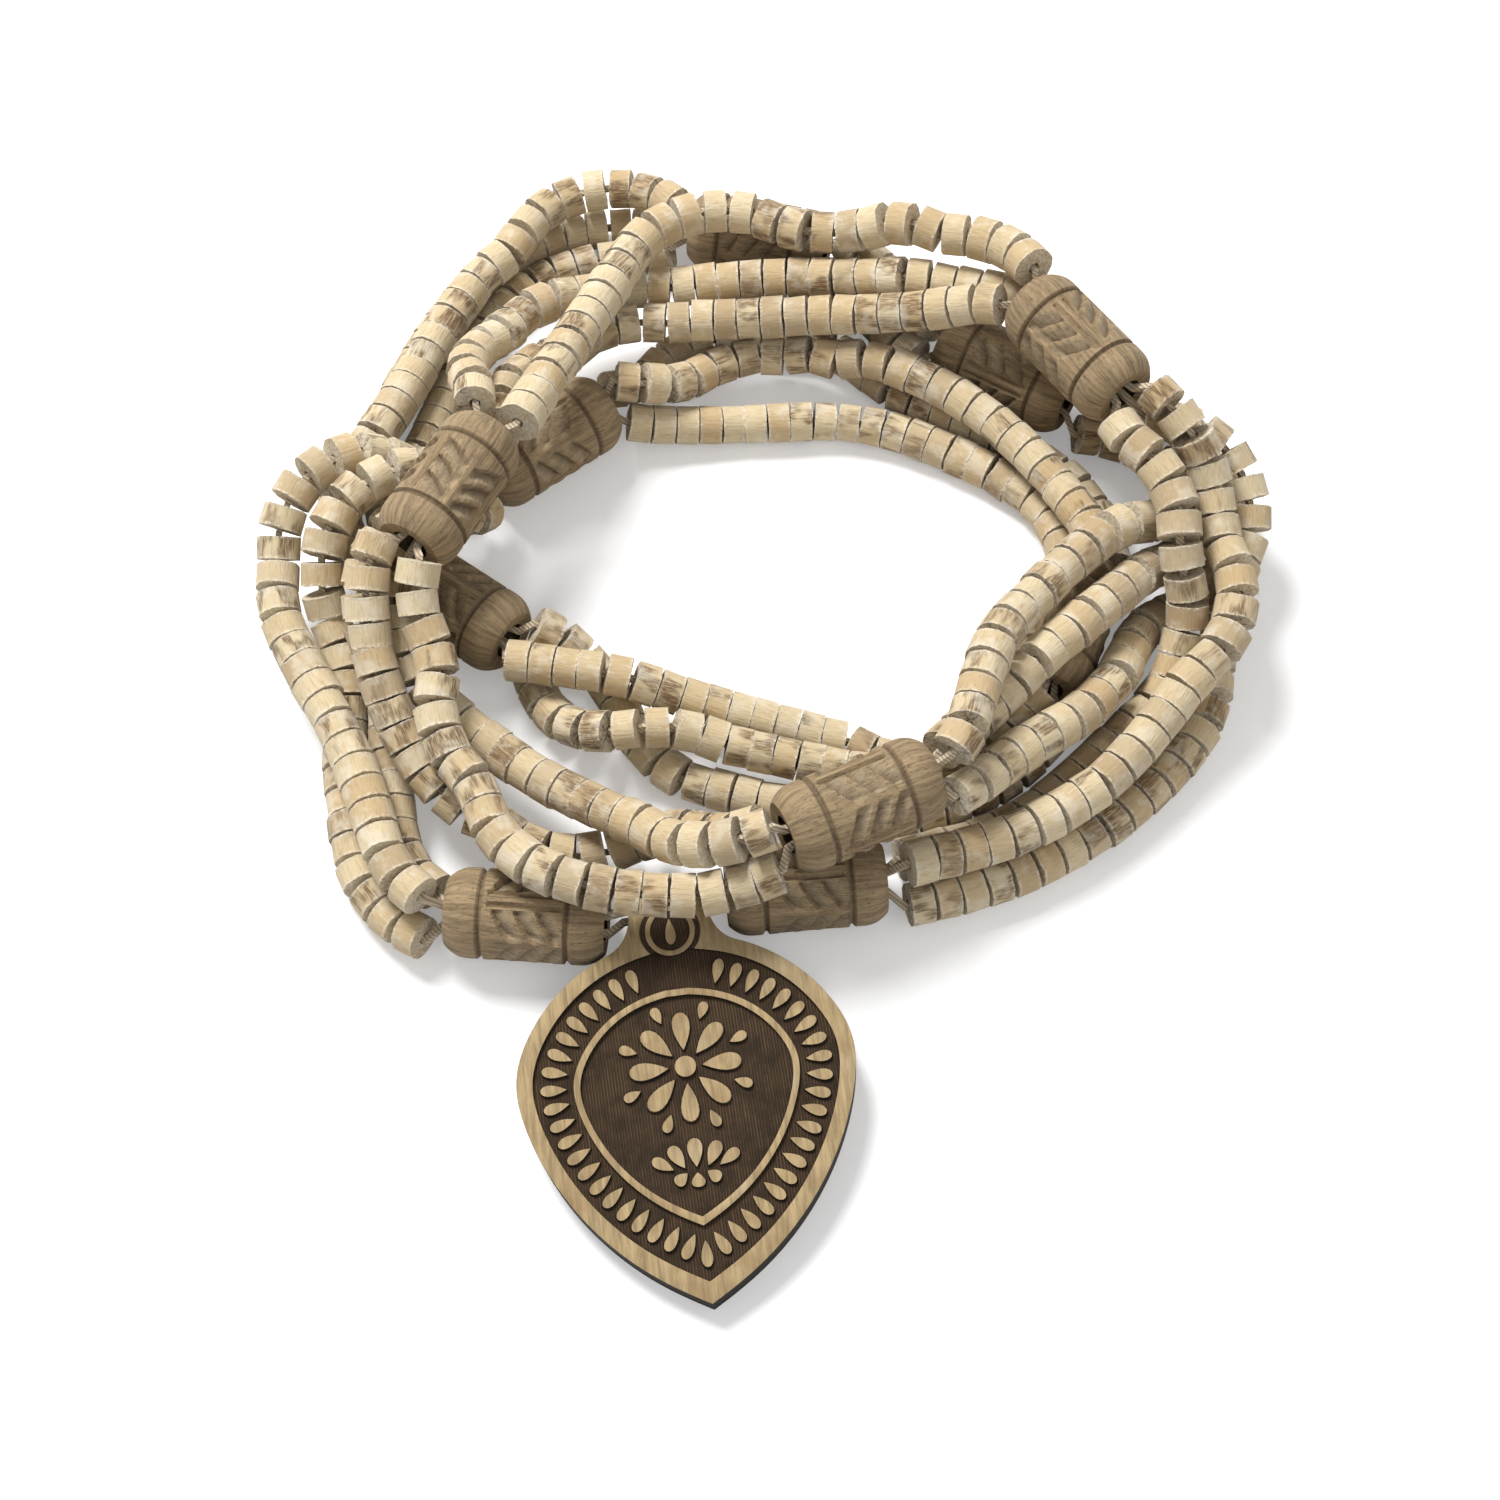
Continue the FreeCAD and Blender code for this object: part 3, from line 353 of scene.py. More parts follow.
def plain_paper():
    """The pale sweep that the necklace lies on, which looks a little lighter than it lights."""
    f = Finish("pale_paper")
    grain = f.noise(f.point(), 700.0, 2.0, 0.5)
    seen = f.add("ShaderNodeLightPath", output="Is Camera Ray")
    f.put(f.shader.inputs["Emission Color"], (1.0, 1.0, 1.0))
    f.put(f.shader.inputs["Emission Strength"], seen * PAPER_GLOW)
    return f.finish(f.mix(grain, PAPER, PAPER_GRAIN), 0.9)


# ---------------------------------------------------------------- modelling helpers


SAME_CORNER = 1e-6


def clear_selection():
    if bpy.context.object and bpy.context.object.mode != "OBJECT":
        bpy.ops.object.mode_set(mode="OBJECT")
    bpy.ops.object.select_all(action="DESELECT")


def new_piece(name):
    """Names the primitive that was just added, and returns it."""
    piece = bpy.context.object
    piece.name = name
    piece.data.name = name
    return piece


def in_edit_mode(piece):
    clear_selection()
    piece.select_set(True)
    bpy.context.view_layer.objects.active = piece
    bpy.ops.object.mode_set(mode="EDIT")
    bpy.ops.mesh.select_all(action="DESELECT")
    return bmesh.from_edit_mesh(piece.data)


def leave_edit_mode(piece):
    """Turns every face outwards, and goes back to whole pieces."""
    bpy.ops.mesh.select_all(action="SELECT")
    bpy.ops.mesh.normals_make_consistent(inside=False)
    bpy.ops.object.mode_set(mode="OBJECT")
    return piece


def join_pieces(pieces, name):
    clear_selection()
    for piece in pieces:
        piece.select_set(True)
    bpy.context.view_layer.objects.active = pieces[0]
    bpy.ops.object.join()
    return new_piece(name)


def linked(name, corners, edges, faces):
    """A piece from its corners, in the scene."""
    mesh = bpy.data.meshes.new(name)
    mesh.from_pydata(corners, edges, faces)
    piece = bpy.data.objects.new(name, mesh)
    bpy.context.scene.collection.objects.link(piece)
    return piece


def copied(piece, matrix):
    """A copy with its own mesh, put in place in its mesh."""
    twin = piece.copy()
    twin.data = piece.data.copy()
    twin.data.transform(matrix)
    bpy.context.scene.collection.objects.link(twin)
    return twin


def scrap(piece):
    mesh = piece.data
    bpy.data.objects.remove(piece)
    bpy.data.meshes.remove(mesh)


def dress(piece, material, body):
    piece.data.materials.clear()
    piece.data.materials.append(material)
    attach(piece, body)


def smooth(piece, angle=40.0):
    clear_selection()
    piece.select_set(True)
    bpy.context.view_layer.objects.active = piece
    bpy.ops.object.shade_smooth_by_angle(angle=math.radians(angle))


def islands(node):
    """The corners of each loose solid of a node, as one array for each."""
    shell = bmesh.new()
    shell.from_mesh(frame["nodes"][node].data)
    bmesh.ops.remove_doubles(shell, verts=shell.verts, dist=SAME_CORNER)
    seen, groups = set(), []
    for start in shell.verts:
        if start in seen:
            continue
        seen.add(start)
        group, front = [], [start]
        while front:
            corner = front.pop()
            group.append(corner.co[:])
            for edge in corner.link_edges:
                other = edge.other_vert(corner)
                if other not in seen:
                    seen.add(other)
                    front.append(other)
        groups.append(np.array(group))
    shell.free()
    return groups


# ---------------------------------------------------------------- disc beads


# In parts of a disc's radius, which is about 2.5 mm.
PER_MM, BORE_INSET, SNUG, WEAR, RIM_PART = 0.4, 0.72, 0.975, (-1.0, 0.6), 0.93
# In millimetres.
HAND_CUT, FLOOR_GAP = 0.04, 0.1
FIBRE_WIDTH, FIBRE_LENGTH = 0.027, (0.25, 0.85)
FIBRE_ROOT, FIBRE_LEAN, FIBRE_STAIN = 0.985, 0.55, (0.0, 0.1, 0.0, 1.0)


def model_disc(s):
    """One disc bead of unit radius and thickness, with its bore along Z and softened rims."""
    clear_selection()
    bpy.ops.mesh.primitive_cylinder_add(vertices=s.sides, radius=1.0, depth=1.0, end_fill_type="NGON")
    disc = new_piece("disc")
    shell = in_edit_mode(disc)
    for face in shell.faces:
        face.select = abs(face.normal.z) > 0.9
    bpy.ops.mesh.inset(thickness=BORE_INSET, use_individual=True)
    bpy.ops.mesh.bridge_edge_loops()
    shell = bmesh.from_edit_mesh(disc.data)
    for edge in shell.edges:
        outer = all(math.hypot(v.co.x, v.co.y) > 0.9 for v in edge.verts)
        edge.select = outer and abs(edge.verts[0].co.z - edge.verts[1].co.z) < 0.01
    bmesh.update_edit_mesh(disc.data)
    bpy.ops.mesh.bevel(offset=s.softness * PER_MM, offset_type="OFFSET", segments=1, affect="EDGES")
    leave_edit_mode(disc)
    unroll(disc)
    disc.data.color_attributes.new("disc_stain", "FLOAT_COLOR", "CORNER")
    return disc


def unroll(piece):
    """A UV map that goes round the Z axis (u) and along it (v), in the piece's own units."""
    layer = piece.data.uv_layers.new(name="unrolled")
    for face in piece.data.polygons:
        angles = []
        for corner in face.loop_indices:
            co = piece.data.vertices[piece.data.loops[corner].vertex_index].co
            angles.append(math.atan2(co.y, co.x) / math.tau)
        middle = math.atan2(face.center.y, face.center.x) / math.tau
        for corner, angle in zip(face.loop_indices, angles):
            co = piece.data.vertices[piece.data.loops[corner].vertex_index].co
            layer.data[corner].uv = (angle - round(angle - middle), co.z)


def disc_frame(corners, rng, s):
    """Where one disc sits: its middle, its axis, and its width and thickness."""
    middle = corners.mean(axis=0)
    spread = corners - middle
    _, directions = np.linalg.eigh(spread.T @ spread)
    axis = Vector(directions[:, 0])
    along = spread @ np.array(axis)
    across = np.linalg.norm(spread - np.outer(along, np.array(axis)), axis=1)
    radius = across.max() * SNUG * (1 + rng.uniform(*WEAR) * s.unevenness)
    thickness = (along.max() - along.min()) * s.fill
    angle = rng.gauss(0, 0.5) * s.tilt
    hinge = Vector((rng.uniform(-1, 1), rng.uniform(-1, 1), 0.01)).normalized()
    turn = axis.to_track_quat("Z", "Y").to_matrix().to_4x4()
    spin = Matrix.Rotation(rng.uniform(0, math.tau), 4, "Z")
    shape = Matrix.Diagonal((radius, radius * rng.uniform(0.975, 1.0), thickness, 1.0))
    return Matrix.Translation(Vector(middle)) @ turn @ Matrix.Rotation(angle, 4, hinge) @ spin @ shape


class NECKLACE_OT_discs(bpy.types.Operator):
    """Threads a softened, streaked disc bead in the place of every plain one"""

    bl_idname = "necklace.discs"
    bl_label = "Thread the disc beads"

    def execute(self, context):
        s = context.scene.necklace_discs
        material = disc_wood(s)
        rng = random.Random(s.seed)
        disc = model_disc(s)
        for node in STRANDS:
            discs = []
            for corners in islands(node):
                bead = copied(disc, disc_frame(corners, rng, s))
                stain = (rng.random() ** 1.3, rng.random(), rng.random(), 1.0)
                colours = bead.data.color_attributes["disc_stain"].data
                colours.foreach_set("color", stain * len(colours))
                jitter(bead, rng, HAND_CUT * MM)
                discs.append(bead)
            discs.append(fray(node, discs, rng, s))
            strand = join_pieces(discs, node.replace("bead_run", "disc_strand"))
            smooth(strand, 50.0)
            dress(strand, material, "beads_on_threads")
            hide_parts(node)
        scrap(disc)
        return {"FINISHED"}


def fray(node, discs, rng, s):
    """Short wood fibres that stand off the rims of a strand's discs, each a closed sliver."""
    corners, faces = [], []
    for bead in discs:
        rims = [vertex.co for vertex in bead.data.vertices]
        middle = sum(rims, Vector()) / len(rims)
        reach = max((co - middle).length for co in rims)
        outer = [co for co in rims if (co - middle).length > RIM_PART * reach]
        for _ in range(s.fibres):
            root = rng.choice(outer).lerp(rng.choice(outer), rng.uniform(0.0, 0.12))
            root = middle.lerp(root, FIBRE_ROOT)
            out = (root - middle).normalized()
            lean = Vector((rng.gauss(0, 1), rng.gauss(0, 1), rng.gauss(0, 0.6))) * FIBRE_LEAN
            tip = root + (out + lean).normalized() * rng.uniform(*FIBRE_LENGTH) * MM
            side = out.cross(lean).normalized() * FIBRE_WIDTH * MM
            over = out.cross(side).normalized() * FIBRE_WIDTH * MM
            if tip.z < FLOOR_GAP * MM:
                continue
            first = len(corners)
            corners += [root + side, root - side, root + over, tip]
            faces += [(first + a, first + b, first + c)
                      for a, b, c in ((0, 2, 1), (0, 1, 3), (1, 2, 3), (2, 0, 3))]
    fibres = linked("fibres_" + node, corners, [], faces)
    fibres.data.uv_layers.new(name="unrolled")
    layer = fibres.data.color_attributes.new("disc_stain", "FLOAT_COLOR", "CORNER").data
    layer.foreach_set("color", FIBRE_STAIN * len(layer))
    in_edit_mode(fibres)
    return leave_edit_mode(fibres)


def jitter(piece, rng, amount):
    """Small hand-cut unevenness of every corner."""
    for vertex in piece.data.vertices:
        vertex.co.x += rng.gauss(0, amount)
        vertex.co.y += rng.gauss(0, amount)
        vertex.co.z += rng.gauss(0, amount)


# ---------------------------------------------------------------- barrels


# In millimetres, along a barrel from its middle and out from its axis.
BARREL_RADIUS, BARREL_END, CAP_START = 5.0, 8.8, 6.0
CAP_LENGTH, CAP_DROP, CAP_POWER = 2.8, 1.25, 2.4
GROOVE_AT, GROOVE_WIDTH, GROOVE_DEPTH = 4.75, 0.32, 0.42
GROOVE_FLANK, GROOVE_SHADE, SHADE_WIDTH = 1.6, 1.3, 0.40
BORE_EDGE = (2.2, 8.6)
CARVED_END, PLAIN_GAP = 4.3, 0.25
STEM_AT, STEM_WIDTH, STEM_FLANK, STEM_END = 0.72, 0.32, 1.6, 4.0
LEAF_TOPS, LEAF_START, LEAF_HEIGHT = (3.6, 1.15, -1.3), 0.9, 1.75
LEAF_RISE, LEAF_RUNOUT, CUT_WALL = 0.5, 0.7, 0.16
LEAF_FALL, LEAF_SAG, SAG_POWER, CUT_POWER = 0.25, 0.16, 1.45, 0.8
# In parts of the deepest cut, and of the palest dust with its painted highlight.
STEM_DEPTH, STEM_END_DEPTH, DUST_HIGHLIGHT_LEAST, DUST_HIGHLIGHT_RISE = 0.55, 0.4, 0.3, 1.3
BARREL_SEED = 3


def barrel_profile():
    """Half section of the turned barrel in millimetres, as pairs of radius and place along it."""
    points = []
    for along in np.linspace(-BARREL_END, BARREL_END, 89):
        far = abs(along)
        radius = BARREL_RADIUS
        if far > CAP_START:
            radius -= CAP_DROP * min(1.0, (far - CAP_START) / CAP_LENGTH) ** CAP_POWER
        ring = max(0.0, 1.0 - abs(far - GROOVE_AT) / GROOVE_WIDTH)
        points.append((radius - GROOVE_DEPTH * min(1.0, ring * GROOVE_FLANK), along))
    return points


def chisel_cut(s, along, around):
    """Depth and slope of the carving: a raised stem with a pair of feathered leaves beside it."""
    if abs(along) > CARVED_END:
        return 0.0, 0.0
    half = math.tau * BARREL_RADIUS / s.turns / 2
    far = abs((around * BARREL_RADIUS + half) % (2 * half) - half)
    stem = max(0.0, 1.0 - abs(far - STEM_AT) / STEM_WIDTH)
    deep = STEM_DEPTH * min(1.0, STEM_FLANK * stem)
    if abs(along) >= STEM_END:
        deep *= STEM_END_DEPTH
    slope = 0.0
    out = far - LEAF_START
    edge = (min(1.0, max(0.0, out / LEAF_RISE))
            * min(1.0, max(0.0, (half - PLAIN_GAP - far) / LEAF_RUNOUT)))
    for top in LEAF_TOPS:
        line = top - LEAF_SAG * max(0.0, out) ** SAG_POWER - LEAF_FALL * out
        below = line - along
        if 0.0 <= below <= LEAF_HEIGHT and out > 0.0:
            cut = edge * min(1.0, below / CUT_WALL) * (1.0 - below / LEAF_HEIGHT) ** CUT_POWER
            if cut > deep:
                # slope marks where the cut's floor gets pale dust and a painted highlight, rising away from the
                # cut wall.
                deep, slope = cut, edge * min(1.0, DUST_HIGHLIGHT_RISE * below / LEAF_HEIGHT + DUST_HIGHLIGHT_LEAST)
    return deep, slope


def model_barrel(s):
    """One carved barrel along Z, in millimetres."""
    bore, end = BORE_EDGE
    chain = [(bore, -end)] + barrel_profile() + [(bore, end)]
    barrel = linked("barrel", [(r, 0.0, z) for r, z in chain],
                    [(i, i + 1) for i in range(len(chain) - 1)], [])
    in_edit_mode(barrel)
    bpy.ops.mesh.select_all(action="SELECT")
    bpy.ops.mesh.spin(steps=s.steps_round, angle=math.tau, center=(0, 0, 0), axis=(0, 0, 1))
    bpy.ops.mesh.remove_doubles(threshold=0.001)
    leave_edit_mode(barrel)
    unroll(barrel)
    stains = []
    for vertex in barrel.data.vertices:
        x, y, z = vertex.co
        radius, around = math.hypot(x, y), math.atan2(y, x)
        on_wood, on_body = radius > 3.0, radius > 4.5
        ring = max(0.0, 1.0 - abs(abs(z) - GROOVE_AT) / SHADE_WIDTH) if on_wood else 0.0
        deep, slope = chisel_cut(s, z, around) if on_body else (0.0, 0.0)
        scale = (radius - deep * s.cut_depth) / radius
        vertex.co.x, vertex.co.y = x * scale, y * scale
        # The third channel is the painted shade along the ring grooves.
        stains.append((deep, slope, min(1.0, ring * GROOVE_SHADE), 1.0))
    layer = barrel.data.color_attributes.new("carving", "FLOAT_COLOR", "POINT")
    layer.data.foreach_set("color", np.array(stains).ravel())
    return barrel


class NECKLACE_OT_barrels(bpy.types.Operator):
    """Puts a carved barrel in the place of every turned one"""

    bl_idname = "necklace.barrels"
    bl_label = "Carve the barrels"

    def execute(self, context):
        s = context.scene.necklace_barrels
        material = barrel_wood(s)
        pattern = model_barrel(s)
        rng = random.Random(BARREL_SEED)
        for node in BARRELS:
            joint = JOINTS[node + "_spin"]
            axis = Vector(joint["axis"])
            turn = axis.to_track_quat("Z", "Y").to_matrix().to_4x4()
            spin = Matrix.Rotation(rng.uniform(0, math.tau), 4, "Z")
            barrel = copied(pattern, Matrix.Translation(Vector(joint["pos_m"])) @ turn @ spin
                            @ Matrix.Scale(MM, 4))
            barrel.name = barrel.data.name = "carved_" + node
            smooth(barrel, 35.0)
            dress(barrel, material, node)
            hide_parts(node)
        scrap(pattern)
        return {"FINISHED"}


# ---------------------------------------------------------------- pendant


# In parts of half the width and of the leaf's height.
TOP_FLAT, WIDEST_AT, SHOULDER_OVER, FLANK_OVER = 0.10, 0.37, (0.74, 0.145), (0.75, 0.69)
TIP_INSET, ROUNDINGS = 1.3, 30
# In parts of the length of a petal, which narrows from its round end to its point.
PETAL_WIDE, PETAL_POWER, PETAL_POINT, PETAL_TOP = 0.55, 0.55, 0.02, (0.84, 0.90, 1.0)
# Lengths in millimetres, and heights along the pendant from the middle of its bore.
WIDTH, LENGTH, SHOULDER, THICKNESS, BORE = 37.2, 43.4, 3.5, 3.4, 1.35
RIM, BORDER, LINE, SUNK = 1.8, 4.4, 0.75, 0.5
TIP_HALF, TIP_BELOW = 0.4, -20.0
TAB = ((3.3, 3.1), (4.3, 2.2), (4.3, -0.6))
FOOT, HOLLOW_ACROSS, HOLLOW_RISE, HOLLOW_STEPS = 7.4, 4.6, 0.9, 9
BORDER_FROM, BORDER_TO, BORDER_PETAL = 0.052, 0.948, (3.1, 3.3)
DROP_MIDDLE, DROP_PETAL = -3.1, (3.3, 3.1)
DROP_OUTER, DROP_INNER, DROP_RISE, DROP_FOOT = (2.75, 2.85), (2.15, 2.25), 0.16, 0.1
FLOWER_MIDDLE, FLOWER_PETALS, BUTTON = -18.3, 8, 1.15
FLOWER_ROWS = ((0.0, 3.9, 4.6, 5.2), (0.5, 6.4, 2.2, 3.0))  # part of a step, reach, length, width
LOTUS = (  # across, up, angle, length, width
    (0.0, -27.6, 0.0, 3.4, 4.4),
    (-1.9, -27.9, 0.50, 3.1, 4.0),
    (1.9, -27.9, -0.50, 3.1, 4.0),
    (-3.5, -28.5, 1.00, 2.8, 3.4),
    (3.5, -28.5, -1.00, 2.8, 3.4),
    (0.0, -30.5, math.pi, 1.7, 4.0),
    (-1.7, -30.2, math.pi - 0.9, 1.8, 3.6),
    (1.7, -30.2, math.pi + 0.9, 1.8, 3.6),
)
OVERLAP, SOFT_EDGE, SOFT_LINE, PETAL_UNDER_FACE, DROP_UNDER_FACE = 0.02, 0.1, 0.07, 0.06, 0.22


def pendant_frame():
    """The middle of the bore, and the pendant's X across it, Y up it and Z out of its face."""
    joint = JOINTS["pendant_swing"]
    back = next(mount for mount in frame["record"]["mounts"] if mount["name"] == "pendant_back")
    across = -Vector(joint["axis"])
    out = -Vector(back["axis"])
    up = out.cross(across)
    turn = Matrix((across, up, out)).transposed()
    return Vector(joint["pos_m"]), turn


def arc_through(a, b, c, steps):
    """Points of the circular arc from a over b to c, without the last."""
    (ax, ay), (bx, by), (cx, cy) = a, b, c
    d = 2 * (ax * (by - cy) + bx * (cy - ay) + cx * (ay - by))
    aa, bb, cc = ax * ax + ay * ay, bx * bx + by * by, cx * cx + cy * cy
    ux = (aa * (by - cy) + bb * (cy - ay) + cc * (ay - by)) / d
    uy = (aa * (cx - bx) + bb * (ax - cx) + cc * (bx - ax)) / d
    radius = math.hypot(ax - ux, ay - uy)
    start = math.atan2(ay - uy, ax - ux)
    turn = (math.atan2(cy - uy, cx - ux) - start) % math.tau
    if (math.atan2(by - uy, bx - ux) - start) % math.tau > turn:
        turn -= math.tau
    angles = [start + turn * k / steps for k in range(steps)]
    return [(ux + radius * math.cos(angle), uy + radius * math.sin(angle)) for angle in angles]


def leaf_line(inset, steps=40):
    """The leaf shape set in by inset, from the middle of its top down its right side and back up."""
    half = WIDTH / 2 - inset
    top = -SHOULDER - inset
    tip = -LENGTH + TIP_INSET * inset
    drop = top - tip
    widest = (half, top - WIDEST_AT * drop)
    (shoulder, above), (flank, below) = SHOULDER_OVER, FLANK_OVER
    right = arc_through((TOP_FLAT * half, top), (shoulder * half, top - above * drop), widest, steps)
    right += arc_through(widest, (flank * half, top - below * drop), (0.0, tip), steps)
    for _ in range(ROUNDINGS):
        right = right[:1] + [((a[0] + 2 * b[0] + c[0]) / 4, (a[1] + 2 * b[1] + c[1]) / 4)
                             for a, b, c in zip(right, right[1:], right[2:] + [(0.0, tip)])]
    return [(0.0, top)] + right + [(0.0, tip)] + mirrored(right)


def mirrored(line):
    return [(-x, y) for x, y in reversed(line)]


def stepped_along(line, count, start, finish):
    """Places and outward normals at even steps along a closed line, straight down at its tip."""
    travel = [0.0]
    for a, b in zip(line, line[1:]):
        travel.append(travel[-1] + math.dist(a, b))
    places = []
    for k in range(count):
        want = travel[-1] * (start + (finish - start) * k / (count - 1))
        i = max(j for j in range(len(line) - 1) if travel[j] <= want)
        part = (want - travel[i]) / (travel[i + 1] - travel[i])
        (ax, ay), (bx, by) = line[i], line[i + 1]
        way = Vector((bx - ax, by - ay)).normalized()
        x, y = ax + part * (bx - ax), ay + part * (by - ay)
        at_tip = abs(x) <= TIP_HALF and y <= TIP_BELOW
        places.append(((x, y), (0.0, -1.0) if at_tip else (-way.y, way.x)))
    return places


def model_petal(relief):
    """A raised teardrop along Y, one unit long, with its round end outwards."""
    clear_selection()
    bpy.ops.mesh.primitive_circle_add(vertices=18, radius=0.5, fill_type="NGON")
    petal = new_piece("petal")
    for vertex in petal.data.vertices:
        y = vertex.co.y
        vertex.co.x *= PETAL_WIDE * (0.5 + y) ** PETAL_POWER + PETAL_POINT if y > -0.49 else 0.0
    in_edit_mode(petal)
    bpy.ops.mesh.select_all(action="SELECT")
    bpy.ops.mesh.extrude_region_move(TRANSFORM_OT_translate={"value": (0, 0, relief)})
    bpy.ops.transform.resize(value=PETAL_TOP)
    return leave_edit_mode(petal)


def laid(petal, x, y, angle, length, width, low, frame_place):
    """A copy of the petal that stands at the height low, in the pendant's frame."""
    shape = Matrix.Rotation(angle, 4, "Z") @ Matrix.Diagonal((width, length, 1.0, 1.0))
    return copied(petal, frame_place @ Matrix.Translation(Vector((x, y, low))) @ shape)


def plate_line():
    """Outline of the plate and its tab, whose foot runs into the shoulders in two hollow curves."""
    leaf = leaf_line(0.0)
    side = [(x, y) for x, y in leaf[1:len(leaf) // 2] if x > FOOT or y < TIP_BELOW]
    foot = side[0]
    curve = (TAB[-1], (HOLLOW_ACROSS, foot[1] + HOLLOW_RISE), foot)
    hollow = []
    for k in range(1, HOLLOW_STEPS):
        t = k / HOLLOW_STEPS
        hollow.append([(1 - t) ** 2 * a + 2 * t * (1 - t) * b + t * t * c for a, b, c in zip(*curve)])
    right = [*TAB, *hollow, *side]
    return right + [(0.0, -LENGTH)] + mirrored(right)


def slab(name, lines, low, high, softness=0.0):
    """A band between two closed lines, or a plate inside one, from low to high, with softened edges."""
    clear_selection()
    corners, edges = [], []
    for line in lines:
        first = len(corners)
        corners += [(x, y, low) for x, y in line]
        edges += [(first + k, first + (k + 1) % len(line)) for k in range(len(line))]
    piece = linked(name, corners, edges, [])
    in_edit_mode(piece)
    bpy.ops.mesh.select_all(action="SELECT")
    bpy.ops.mesh.fill(use_beauty=True)
    bpy.ops.mesh.select_all(action="SELECT")
    bpy.ops.mesh.extrude_region_move(TRANSFORM_OT_translate={"value": (0, 0, high - low)})
    leave_edit_mode(piece)
    if softness:
        with_modifier(piece, "BEVEL", width=softness, segments=2, limit_method="ANGLE",
                      angle_limit=math.radians(60))
    return piece


def with_modifier(piece, kind, **settings):
    clear_selection()
    piece.select_set(True)
    bpy.context.view_layer.objects.active = piece
    modifier = piece.modifiers.new(kind.lower(), kind)
    for key, value in settings.items():
        setattr(modifier, key, value)
    bpy.ops.object.modifier_apply(modifier=modifier.name)
    return piece


def drilled(piece):
    """Cuts the bore across the tab."""
    clear_selection()
    bpy.ops.mesh.primitive_cylinder_add(vertices=28, radius=BORE, depth=14.0,
                                        rotation=(0, math.pi / 2, 0))
    drill = new_piece("drill")
    with_modifier(piece, "BOOLEAN", operation="DIFFERENCE", solver="EXACT", object=drill)
    scrap(drill)
    return piece


def ring_line(middle, across, along, steps=40):
    angles = [math.tau * k / steps for k in range(steps)]
    return [(across * math.sin(angle), middle + along * math.cos(angle)) for angle in angles]


class NECKLACE_OT_pendant(bpy.types.Operator):
    """Cuts the pendant's plate, sinks its ground and lays the raised carving on it"""

    bl_idname = "necklace.pendant"
    bl_label = "Carve the pendant"

    def execute(self, context):
        s = context.scene.necklace_pendant
        origin, turn = pendant_frame()
        material = pendant_wood(s, origin, turn)
        place = Matrix.Translation(origin) @ turn.to_4x4() @ Matrix.Scale(MM, 4)
        face = THICKNESS / 2
        ground = face - SUNK
        low = ground - OVERLAP
        outline = plate_line()
        inner, inmost = leaf_line(RIM + BORDER)[1:], leaf_line(RIM + BORDER + LINE)[1:]
        drop_lines = [ring_line(DROP_MIDDLE, *DROP_OUTER), ring_line(DROP_MIDDLE, *DROP_INNER)]
        button_line = ring_line(FLOWER_MIDDLE, BUTTON, BUTTON, 24)
        petal = model_petal(s.relief - PETAL_UNDER_FACE)
        pieces = [
            drilled(slab("plate", [outline], -face, ground)),
            drilled(slab("rim", [outline, leaf_line(RIM)[1:]], low, face, SOFT_EDGE)),
            slab("inner_line", [inner, inmost], low, face, SOFT_LINE),
            slab("drop_ring", drop_lines, face - DROP_FOOT, face + DROP_RISE, SOFT_LINE),
            slab("flower_button", [button_line], low, face, SOFT_EDGE),
        ]
        for piece in pieces:
            piece.data.transform(place)
        pieces.append(laid(petal, 0.0, DROP_MIDDLE - 0.1, math.pi, *DROP_PETAL,
                           face - DROP_UNDER_FACE, place))
        line = leaf_line(RIM + BORDER / 2)
        petals = []
        for (x, y), (nx, ny) in stepped_along(line + line[:1], s.petals, BORDER_FROM, BORDER_TO):
            petals.append((x, y, math.atan2(ny, nx) - math.pi / 2, *BORDER_PETAL))
        for k in range(FLOWER_PETALS):
            for part, reach, length, width in FLOWER_ROWS:
                angle = math.tau * (k + part) / FLOWER_PETALS
                petals.append((-reach * math.sin(angle), FLOWER_MIDDLE + reach * math.cos(angle),
                               angle, length, width))
        for x, y, angle, length, width in petals + list(LOTUS):
            pieces.append(laid(petal, x, y, angle, length, width, low, place))
        pendant = join_pieces(pieces, "carved_pendant")
        smooth(pendant, 35.0)
        dress(pendant, material, "pendant")
        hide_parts("pendant")
        scrap(petal)
        return {"FINISHED"}


# ---------------------------------------------------------------- threads


class NECKLACE_OT_threads(bpy.types.Operator):
    """Gives the threads their twisted cotton"""

    bl_idname = "necklace.threads"
    bl_label = "Twist the threads"

    def execute(self, context):
        material = thread_cotton()
        for node in THREADS:
            slots = frame["nodes"][node].data.materials
            slots.clear()
            slots.append(material)
        return {"FINISHED"}


# ---------------------------------------------------------------- studio


FLOOR_SIZE = 6.0
KEY_PLACE, KEY_WIDTH, KEY_PART = (-0.26, 0.34, 0.60), 0.30, 4.0
FILL_PLACE, FILL_WIDTH, FILL_PART = (0.30, -0.45, 0.60), 0.6, 0.7
VIEW_FROM_BARREL = Vector((24.4, 23.4, -5.2)) * MM
WHITE = (1.0, 1.0, 1.0, 1.0)


def add_lamp(name, place, width, power):
    """A round lamp that shines on the middle of the frame."""
    clear_selection()
    bpy.ops.object.light_add(type="AREA", location=place)
    lamp = bpy.context.object
    lamp.name = name
    lamp.data.shape = "DISK"
    lamp.data.size = width
    lamp.data.energy = power
    lamp.rotation_euler = (-Vector(place)).to_track_quat("-Z", "Y").to_euler()


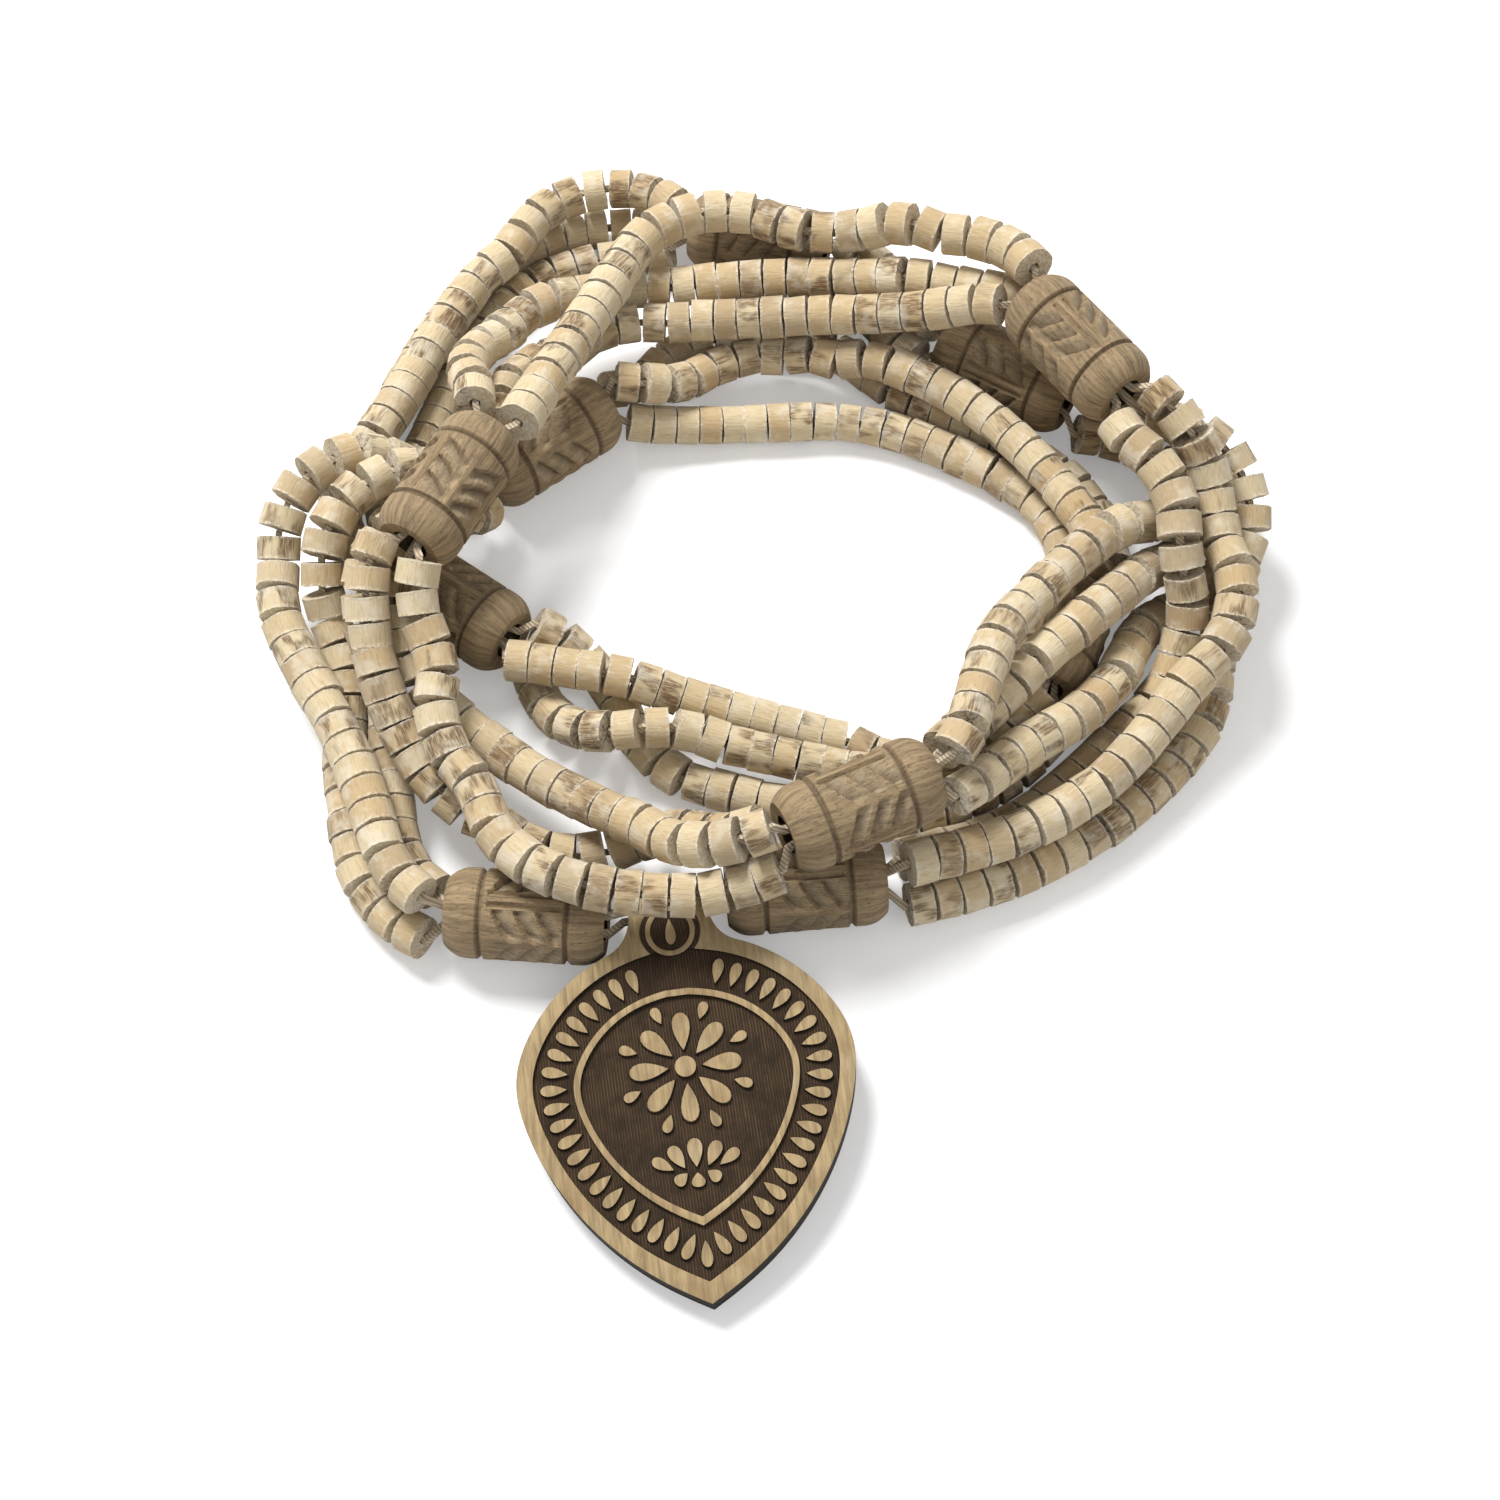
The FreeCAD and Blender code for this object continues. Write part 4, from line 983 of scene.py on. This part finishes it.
class NECKLACE_OT_studio(bpy.types.Operator):
    """Lays the pale floor and sets the lamps and the camera"""

    bl_idname = "necklace.studio"
    bl_label = "Set the studio"

    def execute(self, context):
        s = context.scene.necklace_studio
        clear_selection()
        bpy.ops.mesh.primitive_plane_add(size=FLOOR_SIZE, location=(0, 0, 0))
        floor = new_piece("floor")
        floor.data.materials.append(plain_paper())
        world = bpy.data.worlds.new("even_light")
        context.scene.world = world
        world.use_nodes = True
        sky = world.node_tree.nodes["Background"]
        sky.inputs["Color"].default_value = WHITE
        seen = world.node_tree.nodes.new("ShaderNodeLightPath")
        strength = world.node_tree.nodes.new("ShaderNodeMapRange")
        strength.inputs["To Min"].default_value = s.world
        strength.inputs["To Max"].default_value = 1.0
        world.node_tree.links.new(seen.outputs["Is Camera Ray"], strength.inputs["Value"])
        world.node_tree.links.new(strength.outputs["Result"], sky.inputs["Strength"])
        add_lamp("key_lamp", KEY_PLACE, KEY_WIDTH, s.key * KEY_PART)
        add_lamp("fill_lamp", FILL_PLACE, FILL_WIDTH, s.key * FILL_PART)
        target = Vector(JOINTS["barrel_1_spin"]["pos_m"]) + VIEW_FROM_BARREL
        away = Vector((0.0, -math.cos(s.elevation), math.sin(s.elevation)))
        bpy.ops.object.camera_add(location=target + away * s.distance)
        camera = context.object
        camera.name = "camera"
        camera.rotation_euler = (-away).to_track_quat("-Z", "Y").to_euler()
        camera.data.lens = s.lens
        camera.data.sensor_width = 36.0
        camera.data.clip_start = 0.01
        context.scene.camera = camera
        context.scene.view_settings.view_transform = "Standard"
        return {"FINISHED"}


# The first four in the order of GROUPS, and then the one without settings.
OPERATORS = (NECKLACE_OT_discs, NECKLACE_OT_barrels, NECKLACE_OT_pendant, NECKLACE_OT_studio,
             NECKLACE_OT_threads)


class NECKLACE_PT_panel(bpy.types.Panel):
    """Lists the settings and the steps of the necklace"""

    bl_idname = "NECKLACE_PT_panel"
    bl_label = "Prayer bead necklace"
    bl_space_type = "VIEW_3D"
    bl_region_type = "UI"
    bl_category = "Necklace"

    def draw(self, context):
        for (name, group), operator in zip(GROUPS, OPERATORS):
            box = self.layout.box()
            settings = getattr(context.scene, name)
            for key in group.__annotations__:
                box.prop(settings, key)
            box.operator(operator.bl_idname)
        self.layout.operator(NECKLACE_OT_threads.bl_idname)


def register():
    for name, group in GROUPS:
        bpy.utils.register_class(group)
        setattr(bpy.types.Scene, name, PointerProperty(type=group))
    for operator in OPERATORS:
        bpy.utils.register_class(operator)
    bpy.utils.register_class(NECKLACE_PT_panel)


def unregister():
    bpy.utils.unregister_class(NECKLACE_PT_panel)
    for operator in reversed(OPERATORS):
        bpy.utils.unregister_class(operator)
    for name, group in reversed(GROUPS):
        delattr(bpy.types.Scene, name)
        bpy.utils.unregister_class(group)


def main():
    register()
    bpy.ops.necklace.studio()
    bpy.ops.necklace.threads()
    bpy.ops.necklace.barrels()
    bpy.ops.necklace.pendant()
    bpy.ops.necklace.discs()
    clear_selection()


if __name__ == "__main__":
    main()
